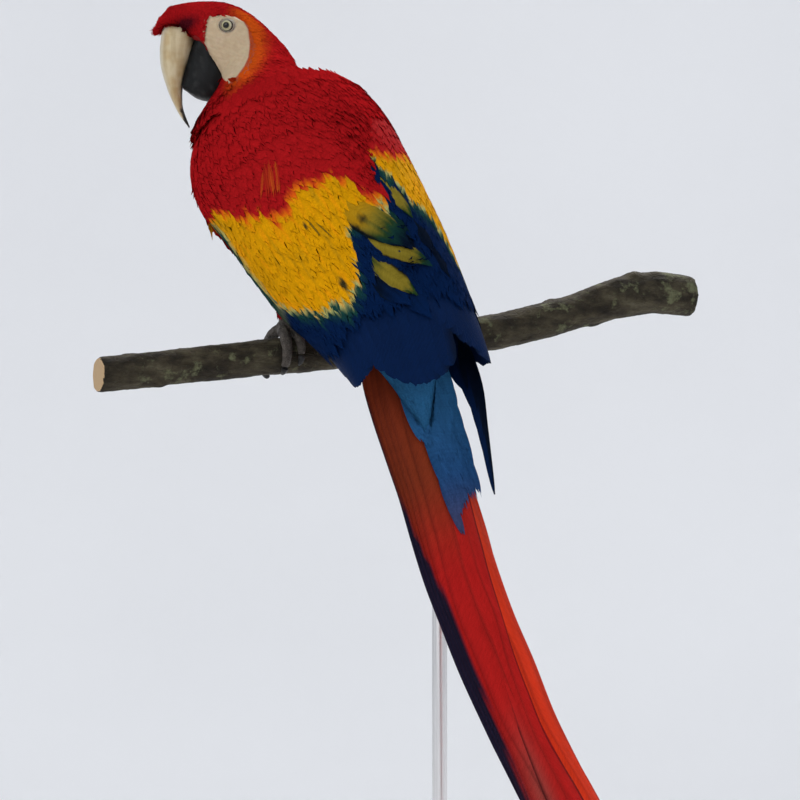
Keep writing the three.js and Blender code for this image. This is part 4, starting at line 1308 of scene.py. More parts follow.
head_places, head_outs = strewn(coat_rng, head_room, FULL_APART)
coat_halves(
    "coat_head", to_face(head_places)[:, 0] > 0, contour(coat_rng, head_places, head_outs, 4, 5, on_skull)
)
neck_places, neck_outs = strewn(coat_rng, neck_room, FULL_APART)
feather_piece(
    "coat_neck", [contour(coat_rng, neck_places, neck_outs, 5, 5, on_body)], soft_feather, "plumage"
)
body_places, body_outs = strewn(coat_rng, body_room, FULL_APART)
in_front = to_bird(body_places)[:, 1] < 0
for part, chosen in (("front", in_front), ("back", ~in_front)):
    batch = contour(coat_rng, body_places[chosen], body_outs[chosen], 5, 5, on_body)
    coat_halves(f"coat_{part}", to_bird(body_places[chosen])[:, 0] > 0, batch)

# ------------------------------------------------------------------ wings
# Folded wings: rows of coverts from the red shoulder through yellow to blue, over long blue
# secondaries, with the black primaries' points below. Each feather is a vane on a shaft.
# Height up the spine, half width, half depth, shift to the left and towards the back, in millimetres.
CLOAK = [
    (101, 74.5, 73, 3.5, -2.5), (84, 81, 77.5, 3.5, -2.5), (55, 85, 80.5, 2.8, -2.2), (20, 81, 79, 0.8, -0.6),
    (-20, 78.8, 74.2, 0.2, -0.2),
    (-60, 75, 67, -1, 1), (-100, 69, 55, -3.4, 1.6), (-140, 66, 41, -5, 0), (-172, 62, 28, -6, -5),
    (-205, 56, 20, -4, -14),
    (-258, 50, 14, 0, -34),
]
WING_EDGES = [
    (101, 62, 86), (84, 36, 108), (55, 18, 124), (20, 7, 128), (-20, 3, 128), (-60, 1.5, 125), (-100, 1, 120),
    (-140, 1, 114), (-190, 4, 104),
]
WING_TIPS = {
    1: [
        (-0.1, -170), (0, -177), (0.10, -180), (0.20, -180), (0.32, -174), (0.39, -167), (0.45, -159),
        (0.50, -152), (0.60, -157),
        (0.70, -159), (0.86, -155), (1, -112),
    ],
    -1: [
        (0, -142), (0.12, -148), (0.18, -153), (0.25, -158), (0.33, -160), (0.42, -165), (0.55, -165),
        (0.70, -161), (0.85, -152), (1, -112)
    ],
}
ROW_APART, COVERT_APART = 6.4, 5.4
SECONDARIES = 16


def on_cloak(height, degrees, out):
    half_width, half_depth, left, back = np.moveaxis(table_values(CLOAK, height), -1, 0)
    # The shoulder's front edge rounds inwards to the breast.
    beyond = np.abs(degrees) - table_values(WING_EDGES, height)[..., 1]
    out = out - 9.0 * smooth_step(beyond, -8, 10) * smooth_step(height, -50, 0)
    angle = np.radians(degrees)
    return np.stack(
        [
            left + (half_width + out) * np.sin(angle), back + (half_depth + out) * np.cos(angle),
            height + 0 * angle
        ],
        axis=-1
    )


def wing_unwrap(height, degrees):
    """Unwrap of a folded wing: round the body, and up it."""
    return np.stack([0.5 + degrees / 330, 0.03 + 0.94 * np.clip((height + 265) / 370, 0, 1)], axis=-1)


def draped(
    side, roots, tips, half, out, rows, cols, rng, fray=0.03, camber=0.25, tilt=0.22, point=0.5, bow=0.0,
    swept=0.10
):
    """Feathers lying on the wing, from roots to tips, each given as height and degrees from the back."""
    roots, tips = np.asarray(roots, float), np.asarray(tips, float)
    half, out = np.broadcast_to(half, len(roots)).astype(float), np.asarray(out, float)
    count = len(roots)
    t = np.linspace(0, 1, rows + 1)[None, :, None]
    c = np.linspace(-1, 1, cols)[None, None, :]
    height = roots[:, 0, None, None] * (1 - t) + tips[:, 0, None, None] * t
    turn = roots[:, 1, None, None] * (1 - t) + tips[:, 1, None, None] * t + bow * np.sin(math.pi * t)
    shape = table_values(CLOAK, height)
    angle = np.radians(turn)
    per_degree = np.hypot(shape[..., 0] * np.cos(angle), shape[..., 1] * np.sin(angle)) * math.pi / 180
    fall = (tips[:, 0] - roots[:, 0])[:, None, None]
    swing = (tips[:, 1] - roots[:, 1])[:, None, None] * per_degree
    length = np.hypot(fall, swing)
    width = np.clip(t * 4 + 0.3, 0, 1) * np.sqrt(
        np.clip(1 - np.clip((t - point) / (1.02 - point), 0, 1) ** 2, 0.0, 1)
    )
    across = half[:, None, None] * c * (0.35 + 0.65 * np.clip(t * 4, 0, 1)) * np.maximum(width, 0.05)
    across = across * (1 + rng.normal(0, 0.03, (count, rows + 1, cols)))
    along = length * t * (1 - swept * c**2 * t**3 + rng.normal(0, fray, (count, 1, cols)) * t**4)
    drop = along / length
    height = roots[:, 0, None, None] + fall * drop + across * swing / length
    turn = roots[:, 1, None, None] + (
        tips[:, 1] - roots[:, 1]
    )[:, None, None] * drop + bow * np.sin(math.pi * t)
    turn = turn - across * fall / length / per_degree
    lifted = out[
        :, 0, None, None
    ] * (1 - t) + out[:, 1, None, None] * t + tilt * c * width - camber * c**2 * width
    points = from_bird(on_cloak(height, side * turn, lifted).reshape(-1, 3)).reshape(*height.shape, 3)
    if side < 0:
        points, across, along, height, turn = (x[:, :, ::-1] for x in (points, across, along, height, turn))
    return points, across, along, height, turn


# The tail's middle line droops from its root and lifts again towards the tips, all in millimetres.
TAIL_ROOT, TAIL_DROOP, TAIL_LIFT, TAIL_SIDEWAYS, TAIL_RETURN = -112.0, 0.33, 0.000335, -0.014, -0.0001
PRIMARY_LONG = {1: -250.0, -1: -256.0}
PRIMARY_TURN = {1: (106.0, 122.0), -1: (106.0, 114.0)}


def tail_frame(run):
    """Place, backward and rightward directions at a distance down the tail."""
    def at(s):
        s = np.asarray(s, float)
        return np.stack(
            [(TAIL_SIDEWAYS - TAIL_RETURN * s) * s, (TAIL_LIFT * s - TAIL_DROOP) * s, TAIL_ROOT - s], axis=-1
        )
    way = unit(at(run + 1) - at(run - 1))
    back = unit(np.array([0.0, 1.0, 0.0]) - way * way[..., 1:2])
    return at(run), back, np.cross(back, way)


firm_feather = feather_finish(
    "flight_feathers", {"Roughness": 0.55, "Specular IOR Level": 0.02}, 0.9, 0.74, 0.45
)
covert_feather = feather_finish(
    "wing_coverts", {"Roughness": 0.72, "Specular IOR Level": 0.005}, 0.45, 0.74, 0.35
)


def shaded(colour, count, rows, cols, rng, spread=0.04, root=0.82):
    t = np.linspace(0, 1, rows + 1)[None, :, None, None]
    edge = np.linspace(-1, 1, cols)[None, None, :, None]
    return colour * rng.uniform(
        1 - spread, 1 + spread, (count, 1, 1, 1)
    ) * (root + (1.02 - root) * t**0.7) * (1 - 0.10 * edge**4)


def covert_rows(side, rng):
    """Rows of coverts down the arm, each row's feathers set between those of the row above."""
    roots, tips, halves, outs = [], [], [], []
    heights = np.arange(62, -96, -ROW_APART)
    for row, height in enumerate(heights):
        inner, outer = table_values(WING_EDGES, height)
        outer += 8 * smooth_step(height, -60, -30)
        shape = table_values(CLOAK, height)
        arc_length = math.radians(outer - inner) * (shape[0] + shape[1]) / 2
        number = max(int(arc_length / COVERT_APART), 3)
        grown = np.interp(height, [-95, -20, 60], [1.0, 0.86, 0.6])
        for k in range(number + 1):
            share = (k + 0.5 * (row % 2)) / number
            degrees = inner + (outer - inner) * share + rng.normal(0, 0.9)
            start = height + rng.normal(0, 1.6)
            length = (34 if height < 10 else 27) * grown * rng.uniform(0.85, 1.15)
            roots.append((start, degrees))
            tips.append((start - length, degrees - 3.0 + rng.normal(0, 1.2)))
            halves.append(5.3 * grown * rng.uniform(0.8, 1.1))
            outs.append((-0.6, 0.25 + rng.normal(0, 0.05)))
    return np.array(roots), np.array(tips), np.array(halves), np.array(outs)


# Scapulars over the inner wing. Each row: root and tip as height and degrees from the back, half width, bow,
# then colours down the vane as places and tones, and the tone and width of its outer and of its inner edge.
OLIVE, DARK_GREEN, TEAL, SHADOW = (
    0.185, 0.140, 0.016
), (0.016, 0.040, 0.012), (0.006, 0.030, 0.026), (0.004, 0.007, 0.008)
GOLD, PALE_EDGE = (0.36, 0.19, 0.006), (0.13, 0.14, 0.06)
SCAPULARS = {
    1: [
        (
            (-14, 33), (-85, -1), 14.5, 3,
            [(0.42, GOLD), (0.58, OLIVE), (0.72, DARK_GREEN), (0.80, TEAL), (0.92, BLUE_BLACK)], SHADOW, 0.24,
            OLIVE, 0.06
        ),
        (
            (-48, 36), (-99, -11), 10.0, 3,
            [(0.25, DARK_GREEN), (0.40, OLIVE), (0.78, OLIVE), (0.90, DARK_GREEN), (0.97, TEAL)], SHADOW,
            0.12, DARK_GREEN, 0.10
        ),
        (
            (-57, 38), (-119, 8), 9.5, 2,
            [(0.38, DARK_GREEN), (0.60, OLIVE), (0.86, OLIVE), (0.95, DARK_GREEN)], PALE_EDGE, 0.12, SHADOW,
            0.45
        ),
        (
            (-62, 43), (-126, 14), 11.5, 2, [(0.3, SHADOW), (0.6, BLUE_BLACK), (0.9, BLUE)], SHADOW, 0.2,
            BLUE_BLACK, 0.2
        ),
        ((-70, 30), (-138, 2), 12.0, 0, [(0.3, BLUE_BLACK), (0.9, BLUE)], BLUE_BLACK, 0.2, BLUE_BLACK, 0.2),
    ],
    -1: [
        (
            (2, 1), (-58, 11), 8.0, 0, [(0.2, DARK_GREEN), (0.36, OLIVE), (0.78, OLIVE), (0.92, DARK_GREEN)],
            SHADOW, 0.42, DARK_GREEN, 0.15
        ),
        ((-8, -14), (-84, 4), 8.0, 0, [(0.2, TEAL), (0.6, TEAL), (0.95, BLUE_BLACK)], SHADOW, 0.2, TEAL, 0.1),
        ((-14, 2), (-88, 19), 9.5, 0, [(0.2, SHADOW), (0.9, BLUE_BLACK)], SHADOW, 0.2, SHADOW, 0.1),
        ((-36, 7), (-106, 26), 10.0, 0, [(0.2, BLUE_BLACK), (0.9, BLUE_BLACK)], SHADOW, 0.2, SHADOW, 0.1),
        ((-60, 10), (-130, 28), 10.5, 0, [(0.2, BLUE_BLACK), (0.9, BLUE)], SHADOW, 0.2, BLUE_BLACK, 0.1),
    ],
}
# Narrow strips of painted shade, laid over the coverts where they part: root and tip as above, half width.
SHADED_OPENINGS = {
    1: [((-30, 50), (-50, 48), 0.8), ((-36, 46.5), (-56, 42), 0.6)],
    -1: [],
}
TUFT_FEATHERS = 14
# Small dark spots on the coverts: height, degrees from the back, size.
DARK_SPOTS = {1: [(-89, 52, 5.0), (-34, 53, 2.6)], -1: []}
LEAF_SPOTS = {1: [(-51, 21, 3.6), (-56, 27, 2.4)], -1: []}
# The mantle: soft red feathers that bridge from one wing to the other over the back.
MANTLE_HEIGHTS, MANTLE_LEFT, MANTLE_RIGHT = (
    -34, -12, -4, 15, 40, 74
), (9, 10, 12, 16, 24, 45), (-5, 0, 1, 6, 20, 45)
mantle_rng = np.random.default_rng(19)
mantle_roots, mantle_tips, mantle_sunk = [], [], []
for row, height in enumerate(np.arange(74, -4, -5.0)):
    left_limit = np.interp(height - 14, MANTLE_HEIGHTS, MANTLE_LEFT)
    right_limit = np.interp(height - 14, MANTLE_HEIGHTS, MANTLE_RIGHT)
    for place in np.arange(-right_limit + 2.0 * (row % 2), left_limit, 4.2):
        start = height + mantle_rng.normal(0, 1.5)
        mantle_roots.append((start, place + mantle_rng.normal(0, 0.6)))
        mantle_tips.append(
            (start - 26 * mantle_rng.uniform(0.85, 1.1), place * 0.80 + mantle_rng.normal(0, 1.0))
        )
        mantle_sunk.append(3.4 * smooth_step(-abs(place), -30, 0))
# The shoulders: rows that start under the neck's feathers and lie over the wing's upper edge.
for row, height in enumerate(np.arange(102, 60, -4.5)):
    outer = table_values(WING_EDGES, height)[1] + 12
    for place in np.arange(-outer + 2.0 * (row % 2), outer, 4.0):
        start = height + mantle_rng.normal(0, 1.3)
        mantle_roots.append((start, place + mantle_rng.normal(0, 0.6)))
        mantle_tips.append(
            (start - 23 * mantle_rng.uniform(0.85, 1.1), place * 0.97 + mantle_rng.normal(0, 1.0))
        )
        mantle_sunk.append(3.0 * smooth_step(height, 88, 104))
mantle_roots, mantle_tips, sunk = np.array(mantle_roots), np.array(mantle_tips), np.array(mantle_sunk)
points, across, along, height, turn = draped(
    1, mantle_roots, mantle_tips, 4.6,
    np.stack([-0.8 - sunk, 0.7 + mantle_rng.normal(0, 0.12, len(sunk))], 1), 7, 7, mantle_rng,
    fray=0.07, tilt=0.1, camber=0.2, point=0.38,
)
colour = np.broadcast_to(SCARLET, points.shape) * (
    1 + 0.05 * cloudy(points.reshape(-1, 3), 30, 44).reshape(across.shape)
)[..., None]
mantle_batch = (points, across, along, shaded(colour, len(sunk), 7, 7, mantle_rng), on_body(points[:, 0, 3]))
feather_piece("coat_mantle", [mantle_batch], soft_feather, "plumage")

for side, name in ((1, "left"), (-1, "right")):
    rng = np.random.default_rng(20 + side)
    batches = []
    # Secondaries, fanned over one another with the inner ones on top.
    shares = np.linspace(0.98, -0.07 if side > 0 else 0.03, SECONDARIES)
    reach = table_values(WING_TIPS[side], shares)[:, 0] + 2
    edges = table_values(WING_EDGES, reach)
    degrees = edges[:, 0] + (edges[:, 1] - edges[:, 0]) * shares
    top = table_values(WING_EDGES, np.full(SECONDARIES, -62.0))
    start_degrees = top[:, 0] + (top[:, 1] - top[:, 0]) * shares
    layer = np.linspace(-3.4, -1.2, SECONDARIES)
    points, across, along, height, turn = draped(
        side, np.stack([np.full(SECONDARIES, -62.0), start_degrees], 1), np.stack([reach, degrees], 1), 10.5,
        np.stack([layer - 0.6, layer + 0.6], 1), 24, 9, rng, fray=0.004, tilt=0.45, camber=0.5, point=0.90,
        swept=0.02,
    )
    inner_web = smooth_step(-across / 10.5, -0.1, 0.9)
    colour = blend(np.broadcast_to(BLUE, points.shape), BLUE_BLACK, inner_web * 0.8)
    colour = shaded(colour, SECONDARIES, 24, 9, rng, 0.06, 0.9)
    home = np.stack(
        [0.04 + 0.92 * (np.arange(SECONDARIES) + 0.5) / SECONDARIES, np.full(SECONDARIES, 0.06)], 1
    )
    batches.append((points, across, along, colour, (home, (0.07, 0.10))))
    # Coverts.
    roots, tips, halves, outs = covert_rows(side, rng)
    points, across, along, height, turn = draped(
        side, roots, tips, halves, outs, 8, 9, rng, fray=0.05, tilt=0.10, camber=0.14, point=0.38
    )
    jitter = rng.normal(0, 2.6, (len(roots), 1, 1))
    seen_turn = (roots[:, 1] * 0.3 + tips[:, 1] * 0.7)[:, None, None] + 0 * turn
    seen_height = height * 0.7 + (roots[:, 0] * 0.25 + tips[:, 0] * 0.75)[:, None, None] * 0.3 + jitter
    streak = cloudy(
        np.stack([turn * 1.3, height * 0.13, 0 * turn], -1).reshape(-1, 3), 7.0, 41
    ).reshape(turn.shape)
    colour = wing_colour(seen_height + 3.0 * streak, seen_turn, side)
    yellowness = smooth_step(colour[..., 1], 0.15, 0.3)
    colour = colour * (1 + 0.16 * streak * (0.4 + 0.6 * yellowness))[..., None]
    colour = blend(colour, np.array([0.70, 0.19, 0.004]), 0.35 * yellowness * smooth_step(streak, 0.1, 0.7))
    colour = blend(colour, np.array([0.36, 0.21, 0.010]), 0.35 * yellowness * smooth_step(-streak, 0.2, 0.8))
    for spot_height, spot_turn, spot_size in DARK_SPOTS[side]:
        away = np.hypot(height - spot_height, (turn - spot_turn) * 1.3 * 1.6) / spot_size
        colour = blend(colour, np.array([0.012, 0.020, 0.012]), 0.95 * smooth_step(-away, -1.3, -0.7))
    batches.append(
        (points, across, along, shaded(colour, len(roots), 8, 9, rng), wing_unwrap(roots[:, 0], roots[:, 1]))
    )
    # Scapulars.
    leaf = SCAPULARS[side]
    roots, tips = np.array([row[0] for row in leaf], float), np.array([row[1] for row in leaf], float)
    halves, bows = np.array([row[2:4] for row in leaf], float).T[:, :, None, None]
    top_level, low_level = (3.0, 1.6) if side > 0 else (1.4, 0.6)
    level = np.stack([np.linspace(-1.2, -2.4, len(leaf)), np.linspace(top_level, low_level, len(leaf))], 1)
    points, across, along, height, turn = draped(
        side, roots, tips, halves.ravel(), level, 24, 15, rng, fray=0.012, tilt=0.2, camber=0.9, point=0.48,
        bow=bows
    )
    t = np.linspace(0, 1, 25)[None, :, None]
    ripple = 0.05 * cloudy(
        np.stack([across * 1.5, along * 0.10, 0 * along], -1).reshape(-1, 3), 6, 43
    ).reshape(across.shape)
    place = t + 1.3 * ripple + 0 * across
    outer = np.clip(across / halves, -1, 1) + ripple
    colour = np.empty(points.shape)
    for n, (_, _, _, _, tones, outer_tone, outer_width, inner_tone, inner_width) in enumerate(leaf):
        for channel in range(3):
            colour[n, ..., channel] = np.interp(
                place[n], [stop for stop, _ in tones], [tone[channel] for _, tone in tones]
            )
        clear_of_root = smooth_step(t[0], 0.12, 0.35)
        colour[n] = blend(
            colour[n], np.array(inner_tone),
            smooth_step(-outer[n], 0.9 - inner_width, 1.0 - inner_width * 0.5) * clear_of_root
        )
        colour[n] = blend(
            colour[n], np.array(outer_tone),
            smooth_step(outer[n], 0.9 - outer_width, 1.0 - outer_width * 0.5) * clear_of_root
        )
    for spot_height, spot_turn, spot_size in LEAF_SPOTS[side]:
        away = np.hypot(height - spot_height, (turn - spot_turn) * 1.3) / spot_size
        colour = blend(colour, np.array(SHADOW), 0.85 * smooth_step(-away, -1.4, -0.6))
    colour = colour * (1 + 2.0 * ripple)[..., None]
    home = wing_unwrap(roots[:, 0] * 0.5 + tips[:, 0] * 0.5, 140 + 2.2 * np.arange(len(leaf)))
    batches.append((points, across, along, shaded(colour, len(leaf), 24, 15, rng, 0.02, 0.95), (home, 0.03)))
    if side > 0:
        # A small tuft of orange feathers shows through the red of the left shoulder.
        tuft = rng.uniform(-1, 1, (TUFT_FEATHERS, 5))
        roots = np.stack([25 + 5 * tuft[:, 0], 53 + 5 * tuft[:, 1]], 1)
        tips = np.stack([5 + 6 * tuft[:, 2], 61 + 6 * tuft[:, 1] + tuft[:, 3]], 1)
        points, across, along, height, turn = draped(
            side, roots, tips, 1.1 + 0.3 * tuft[:, 4], np.tile((0.2, 0.9), (TUFT_FEATHERS, 1)), 8, 5, rng,
            tilt=0.1, camber=0.2, point=0.3
        )
        colour = blend(
            np.broadcast_to(SCARLET, points.shape), np.array([0.46, 0.085, 0.009]),
            0.4 + 0.4 * tuft[:, 4, None, None] + 0 * across
        )
        home = wing_unwrap(roots[:, 0], roots[:, 1])
        batches.append((points, across, along, shaded(colour, TUFT_FEATHERS, 8, 5, rng), home))
    # Strips of painted shade over the coverts where they part.
    gaps = SHADED_OPENINGS[side]
    roots, tips = np.array([row[0] for row in gaps], float), np.array([row[1] for row in gaps], float)
    halves = np.array([row[2] for row in gaps], float)
    if gaps:
        level = np.tile((0.35, 0.8), (len(gaps), 1))
        points, across, along, height, turn = draped(
            side, roots, tips, halves, level, 8, 5, rng, tilt=0.0, camber=0.3, point=0.3
        )
        colour = np.broadcast_to(np.array([0.17, 0.10, 0.008]), points.shape)
        home = wing_unwrap(roots[:, 0] * 0.5 + tips[:, 0] * 0.5, 156 + 2.2 * np.arange(len(gaps)))
        batches.append((points, across, along, colour, (home, 0.01)))
    wing = feather_piece(f"wing_{name}_coverts", batches[1:], covert_feather, "wing_feathers")
    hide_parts(f"wing_{name}")
    # Primaries: a closed fan of narrow blades. The left ones are tucked under the tail's root.
    blades = [PRIMARY_LONG[side] * (1 - (0.055 if side > 0 else 0.085) * k) for k in range(5)]
    rows, cols = 26, 7
    t = np.linspace(0, 1, rows + 1)[None, :, None]
    c = np.linspace(-1, 1, cols)[None, None, :]
    lengths = np.array(blades)[:, None, None]
    rank = np.arange(len(blades))[:, None, None]
    fall = 1 - (1 - t) ** 1.5
    height = -80 + (lengths + 80) * fall + 0 * c
    eased = fall**2 * (3 - 2 * fall)
    root_turn, tip_turn = PRIMARY_TURN[side]
    spread = 1.0 if side > 0 else 5.0
    middle_turn = root_turn - 1.6 * rank + (tip_turn - root_turn + spread * rank) * eased
    taper = np.sqrt(np.maximum(1 - np.clip(2 * fall - 1, 0, 1) ** 2, 0.02))
    across = (12.5 if side > 0 else 14.5) * taper * np.interp(np.minimum(fall * 3, 1), [0, 1], [0.6, 1]) * c
    turn = middle_turn + np.degrees(across / np.maximum(table_values(CLOAK, height)[..., 0], 40))
    out = -4.6 - 0.55 * (4 - rank) - 0.7 * c**2 - (0 if side > 0 else 5.5) * eased
    points = on_cloak(height, side * turn, out)
    if side > 0:
        point, back, right = tail_frame(-112 - height)
        tucked = point + right * (side * (12 - across))[..., None] + back * (
            -12 - 0.8 * rank - 0.5 * c**2
        )[..., None]
        share = smooth_step(-height, 95, 150)[..., None]
        points = points * (1 - share) + tucked * share
    points = from_bird(points.reshape(-1, 3)).reshape(points.shape)
    along = (lengths + 80) * -fall + 0 * across
    across = across + 0 * along
    if side < 0:
        points, across, along = points[:, :, ::-1], across[:, :, ::-1], along[:, :, ::-1]
    colour = blend(
        np.broadcast_to(BLUE * 0.8, points.shape), BLUE_BLACK, smooth_step(-across / 12.5 * 1.0, -0.3, 0.3)
    )
    colour = shaded(colour, len(blades), rows, cols, rng, 0.08, 0.9)
    home = np.stack([0.08 + 0.16 * np.arange(len(blades)), np.full(len(blades), 0.80)], 1)
    primaries = (points, across, along, colour, (home, (0.12, 0.30)))
    feather_piece(f"wing_{name}_quills", [batches[0], primaries], firm_feather, "wing_feathers")

# ------------------------------------------------------------------ tail
# Twelve long tapering tail feathers in six pairs, the middle pair longest and on top, red with blue
# outer edges and pale blue points. Soft sky-blue coverts lie over and under their roots.
TAIL_LENGTH, PAIRS, PAIR_STEP, PAIR_DROP, PAIR_SHORTER = 545.0, 6, 2.6, 1.3, 0.05
HALF_VANE, TAIL_ARCH, TAIL_FLAT = 13.8, 0.011, 30.0
# The folded fan's outer edges: distance down the tail, then its left edge and its right edge.
FAN_EDGES = [
    (0, -27, 32), (34, -33.5, 46), (64, -35.5, 43), (85, -36, 39.5), (105, -36.5, 37.5), (126, -37, 35.5),
    (163, -40, 32.5),
    (197, -42, 28), (232, -42, 26), (270, -42, 28), (317, -40, 26.5), (357, -38.7, 32.5), (391, -40, 39),
    (440, -44, 44),
    (500, -40, 40), (545, -34, 34),
]
# The right one of the middle pair lies on top: distance down the tail, its middle, its half width.
TOP_FEATHER = [
    (0, 2, 5), (60, 4, 11), (135, 5, 13), (162, 1.5, 12.5), (177, 0, 12), (198, -2.5, 11), (236, -2.7, 7.3),
    (270, -7.2, 8.3),
    (300, -9, 9), (340, -10.2, 9.8), (387, -7.2, 14.3), (440, -5, 17), (500, -2, 14), (535, -1, 8),
    (545, -1, 1.5),
]
LIT_RED = np.array([0.56, 0.030, 0.008])
VANE_SHAPE = [
    (0, 9), (0.08, 12.8), (0.30, 13.2), (0.50, 13.8), (0.80, 12.8), (0.90, 10.4), (0.96, 7.2), (0.99, 4.0),
    (1, 1.2)
]


def down_tail(run, across, lift):
    """Points at distances down the tail and to the bird's right of its middle line, on its shallow arch."""
    point, back, right = tail_frame(run)
    arched = lift - TAIL_ARCH * np.minimum(np.abs(across), TAIL_FLAT) ** 2
    return point + right * across[..., None] + back * arched[..., None]


tail_rng = np.random.default_rng(31)
tail_feather = feather_finish(
    "tail_feathers", {"Roughness": 0.55, "Specular IOR Level": 0.02}, 1.25, 0.78, 0.45
)
rows, cols = 70, 11
t = 1 - (1 - np.linspace(0, 1, rows + 1)[:, None]) ** 1.25
c = np.linspace(-1, 1, cols)[None, :]
batches = []
for rank in range(PAIRS - 1, -1, -1):
    for side in (1, -1):
        length = TAIL_LENGTH * (1 - PAIR_SHORTER * rank)
        half = table_values(VANE_SHAPE, t)[..., 0]
        frayed = 1 + tail_rng.normal(0, 0.012, (1, cols)) * t**8
        run = length * t * frayed + 0 * c
        sway = 0.3 * np.sin(run / 70 + rank * 1.3 + side)
        left_edge, right_edge = np.moveaxis(table_values(FAN_EDGES, run), -1, 0)
        inset = HALF_VANE + PAIR_STEP * (PAIRS - 1 - rank)
        if rank > 0:
            offset = right_edge - inset if side > 0 else left_edge + inset
        elif side > 0:
            offset, half = np.moveaxis(table_values(TOP_FEATHER, run), -1, 0)
        else:
            offset = (left_edge + right_edge) / 2 - 6.6
        across = half * c
        lower = PAIR_DROP * rank + (0 if side > 0 else PAIR_DROP / 2)
        lift = 0.7 - lower - 0.9 * (np.abs(c) ** 2) + 0.45 * np.exp(-((across / 1.2) ** 2))
        points = from_bird(
            down_tail(run, offset + across + sway, lift).reshape(-1, 3)
        ).reshape(*run.shape, 3)[None]
        place = offset + across
        from_tip = length - run
        colour = np.broadcast_to(LIT_RED if side > 0 and rank > 0 else TAIL_RED, points[0].shape)
        # Painted shade over the feathers near the tail's root, where wings and coverts overhang it, deeper on
        # one side's feathers.
        tail_root_shade = smooth_step(-run, -205, -110) * (1.0 if side < 0 else 0.35)
        colour = blend(colour, np.array([0.105, 0.026, 0.008]), 0.8 * tail_root_shade)
        # Blue outer edges on one side's feathers, painted near-black as shade.
        if side < 0 and rank > 0:
            dark_from = np.interp(run, [60, 150, 220], [33.2, 34.5, 30.3])
            dark_share = smooth_step(-place - dark_from, -0.7, 0.7) * smooth_step(-run, -500, -470)
            colour = blend(colour, np.array([0.004, 0.010, 0.026]), 0.98 * dark_share)
        if rank < 3:
            colour = blend(colour, SKY_BLUE * 0.8, smooth_step(-from_tip, -30 - 10 * rank, -6) * 0.8)
        # A purplish-brown band of painted shade along the top middle feather's left edge, where it lies over
        # the feathers below.
        crossing, crossing_half = np.moveaxis(table_values(TOP_FEATHER, run), -1, 0)
        overlap_shade = np.exp(-(((place - crossing + crossing_half) / 7) ** 2)) * smooth_step(run, 290, 390)
        colour = blend(colour, np.array([0.15, 0.050, 0.040]), 0.6 * overlap_shade)
        # Darker along each feather's edges: painted shade where the feathers overlap, strongest along both
        # edges of the top middle feather.
        rim = 0.35 * smooth_step(np.abs(across) - half, -1.2, -0.2)
        if rank == 0 and side > 0:
            rim = smooth_step(across - half, -1.2, -0.3) + smooth_step(
                -across - half, -1.2, -0.3
            ) * smooth_step(run, 245, 275)
        colour = blend(colour, np.array([0.022, 0.004, 0.005]), 0.9 * rim)
        shaft = np.exp(-((across / 0.7) ** 2))
        colour = blend(colour, np.array([0.14, 0.010, 0.008]), 0.35 * shaft)
        streaks = 1 + 0.16 * cloudy(
            np.stack([across * 0 + run * 0.15, across * 2.2, 0 * run + rank * 9.0 + side], -1).reshape(-1, 3),
            14, 33 + rank
        ).reshape(run.shape)
        colour = (colour * streaks[..., None] * tail_rng.uniform(0.92, 1.08))[None]
        home = np.array([[0.06 + 0.076 * (2 * rank + (side > 0)), 0.5]])
        batches.append((points, across[None], run[None], colour, (home, (0.06, 0.94))))
tail = feather_piece("tail_quills", batches, tail_feather, "tail_feathers")
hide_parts("tail")


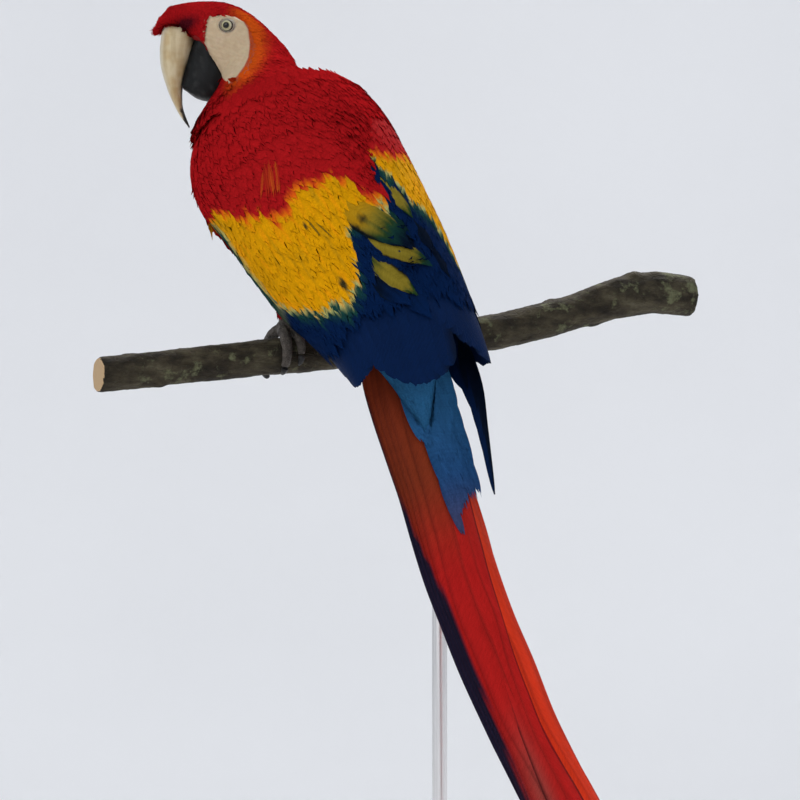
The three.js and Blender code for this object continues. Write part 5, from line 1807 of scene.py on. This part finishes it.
def tail_coverts(rng, count, first, edges, lift, longest, tones, under=False):
    """Soft feathers in overlapping rows down the root of the tail, between two side edges."""
    rows, cols = 9, 7
    t = np.linspace(0, 1, rows + 1)[None, :, None]
    c = np.linspace(-1, 1, cols)[None, None, :]
    last = edges[-1][0]
    tip = last - (last - first - 24) * np.sort(rng.uniform(0, 1, count))
    length = np.interp(tip, [first, last], [34, longest]) * rng.uniform(0.85, 1.15, count)
    start = tip - length
    half = np.interp(tip, [first, last], [8.0, 4.6]) * rng.uniform(0.85, 1.1, count)
    low, high = np.array(
        [arc(tip, [row[:2] for row in edges]), arc(tip, [(row[0], row[2]) for row in edges])]
    )
    inset = np.minimum(0.75 * half, (high - low) / 2)
    spread = low + inset + (high - low - 2 * inset) * rng.uniform(0, 1, count)
    width = np.clip(t * 4 + 0.3, 0, 1) * np.sqrt(np.clip(1 - np.clip((t - 0.45) / 0.57, 0, 1) ** 2, 0, 1))
    fray = 1 + rng.normal(0, 0.05, (count, 1, cols)) * t**3
    run = start[:, None, None] + length[:, None, None] * t * fray
    across = half[:, None, None] * c * (0.3 + 0.7 * np.clip(t * 4, 0, 1)) * np.maximum(width, 0.04)
    height = np.interp(run, [first, last], [lift, 1.5]) * np.ones_like(across)
    height = height - 1.3 * (1 - t) + rng.uniform(-0.35, 0.35, (count, 1, 1)) - 0.4 * c**2
    flip = -1 if under else 1
    points = down_tail(run, spread[:, None, None] + across, flip * height - (9.0 if under else 0))
    if under:
        points, across, run = points[:, :, ::-1], across[:, :, ::-1], run[:, :, ::-1]
    points = from_bird(points.reshape(-1, 3)).reshape(points.shape)
    down = smooth_step(run / last, 0.1, 0.95)
    tone = blend(np.broadcast_to(tones[0], points.shape), tones[1], down)
    tone = blend(tone, np.array([0.060, 0.045, 0.080]), 0.6 * smooth_step(run, last - 50, last))
    colour = shaded(tone * rng.uniform(0.9, 1.08, (count, 1, 1, 1)), count, rows, cols, rng, 0.06, 0.8)
    home = np.stack([0.5 + spread / 60, 0.03 + 0.94 * (start - first + 30) / (last - first + 60)], 1)
    return points, across, run, colour, (home, 0.012)


# Each row: distance down the tail, then the left and the right edge of the coverts.
UPPER_EDGES = [
    (-50, -20, 28), (30, -13, 42), (58, -13, 44), (86, -15, 42), (99, -14, 40), (106, -8, 39),
    (121, -7.5, 38), (134, -8.5, 36),
    (140, -8.5, 20), (148, -8, 8), (156, -5.5, -2), (165, -5, -2),
]
UNDER_EDGES = [(-45, -20, 20), (60, -17, 17), (110, -12, 12)]
upper = tail_coverts(tail_rng, 420, -46, UPPER_EDGES, 6.2, 40, (SKY_BLUE, np.array([0.014, 0.050, 0.150])))
feather_piece("tail_coverts_upper", [upper], soft_feather, "plumage")
lower = tail_coverts(tail_rng, 240, -42, UNDER_EDGES, 4.0, 38, (SKY_BLUE * 0.7, BLUE * 1.2), under=True)
feather_piece("tail_coverts_under", [lower], soft_feather, "plumage")

visual_box = [list(corner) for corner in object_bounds()]
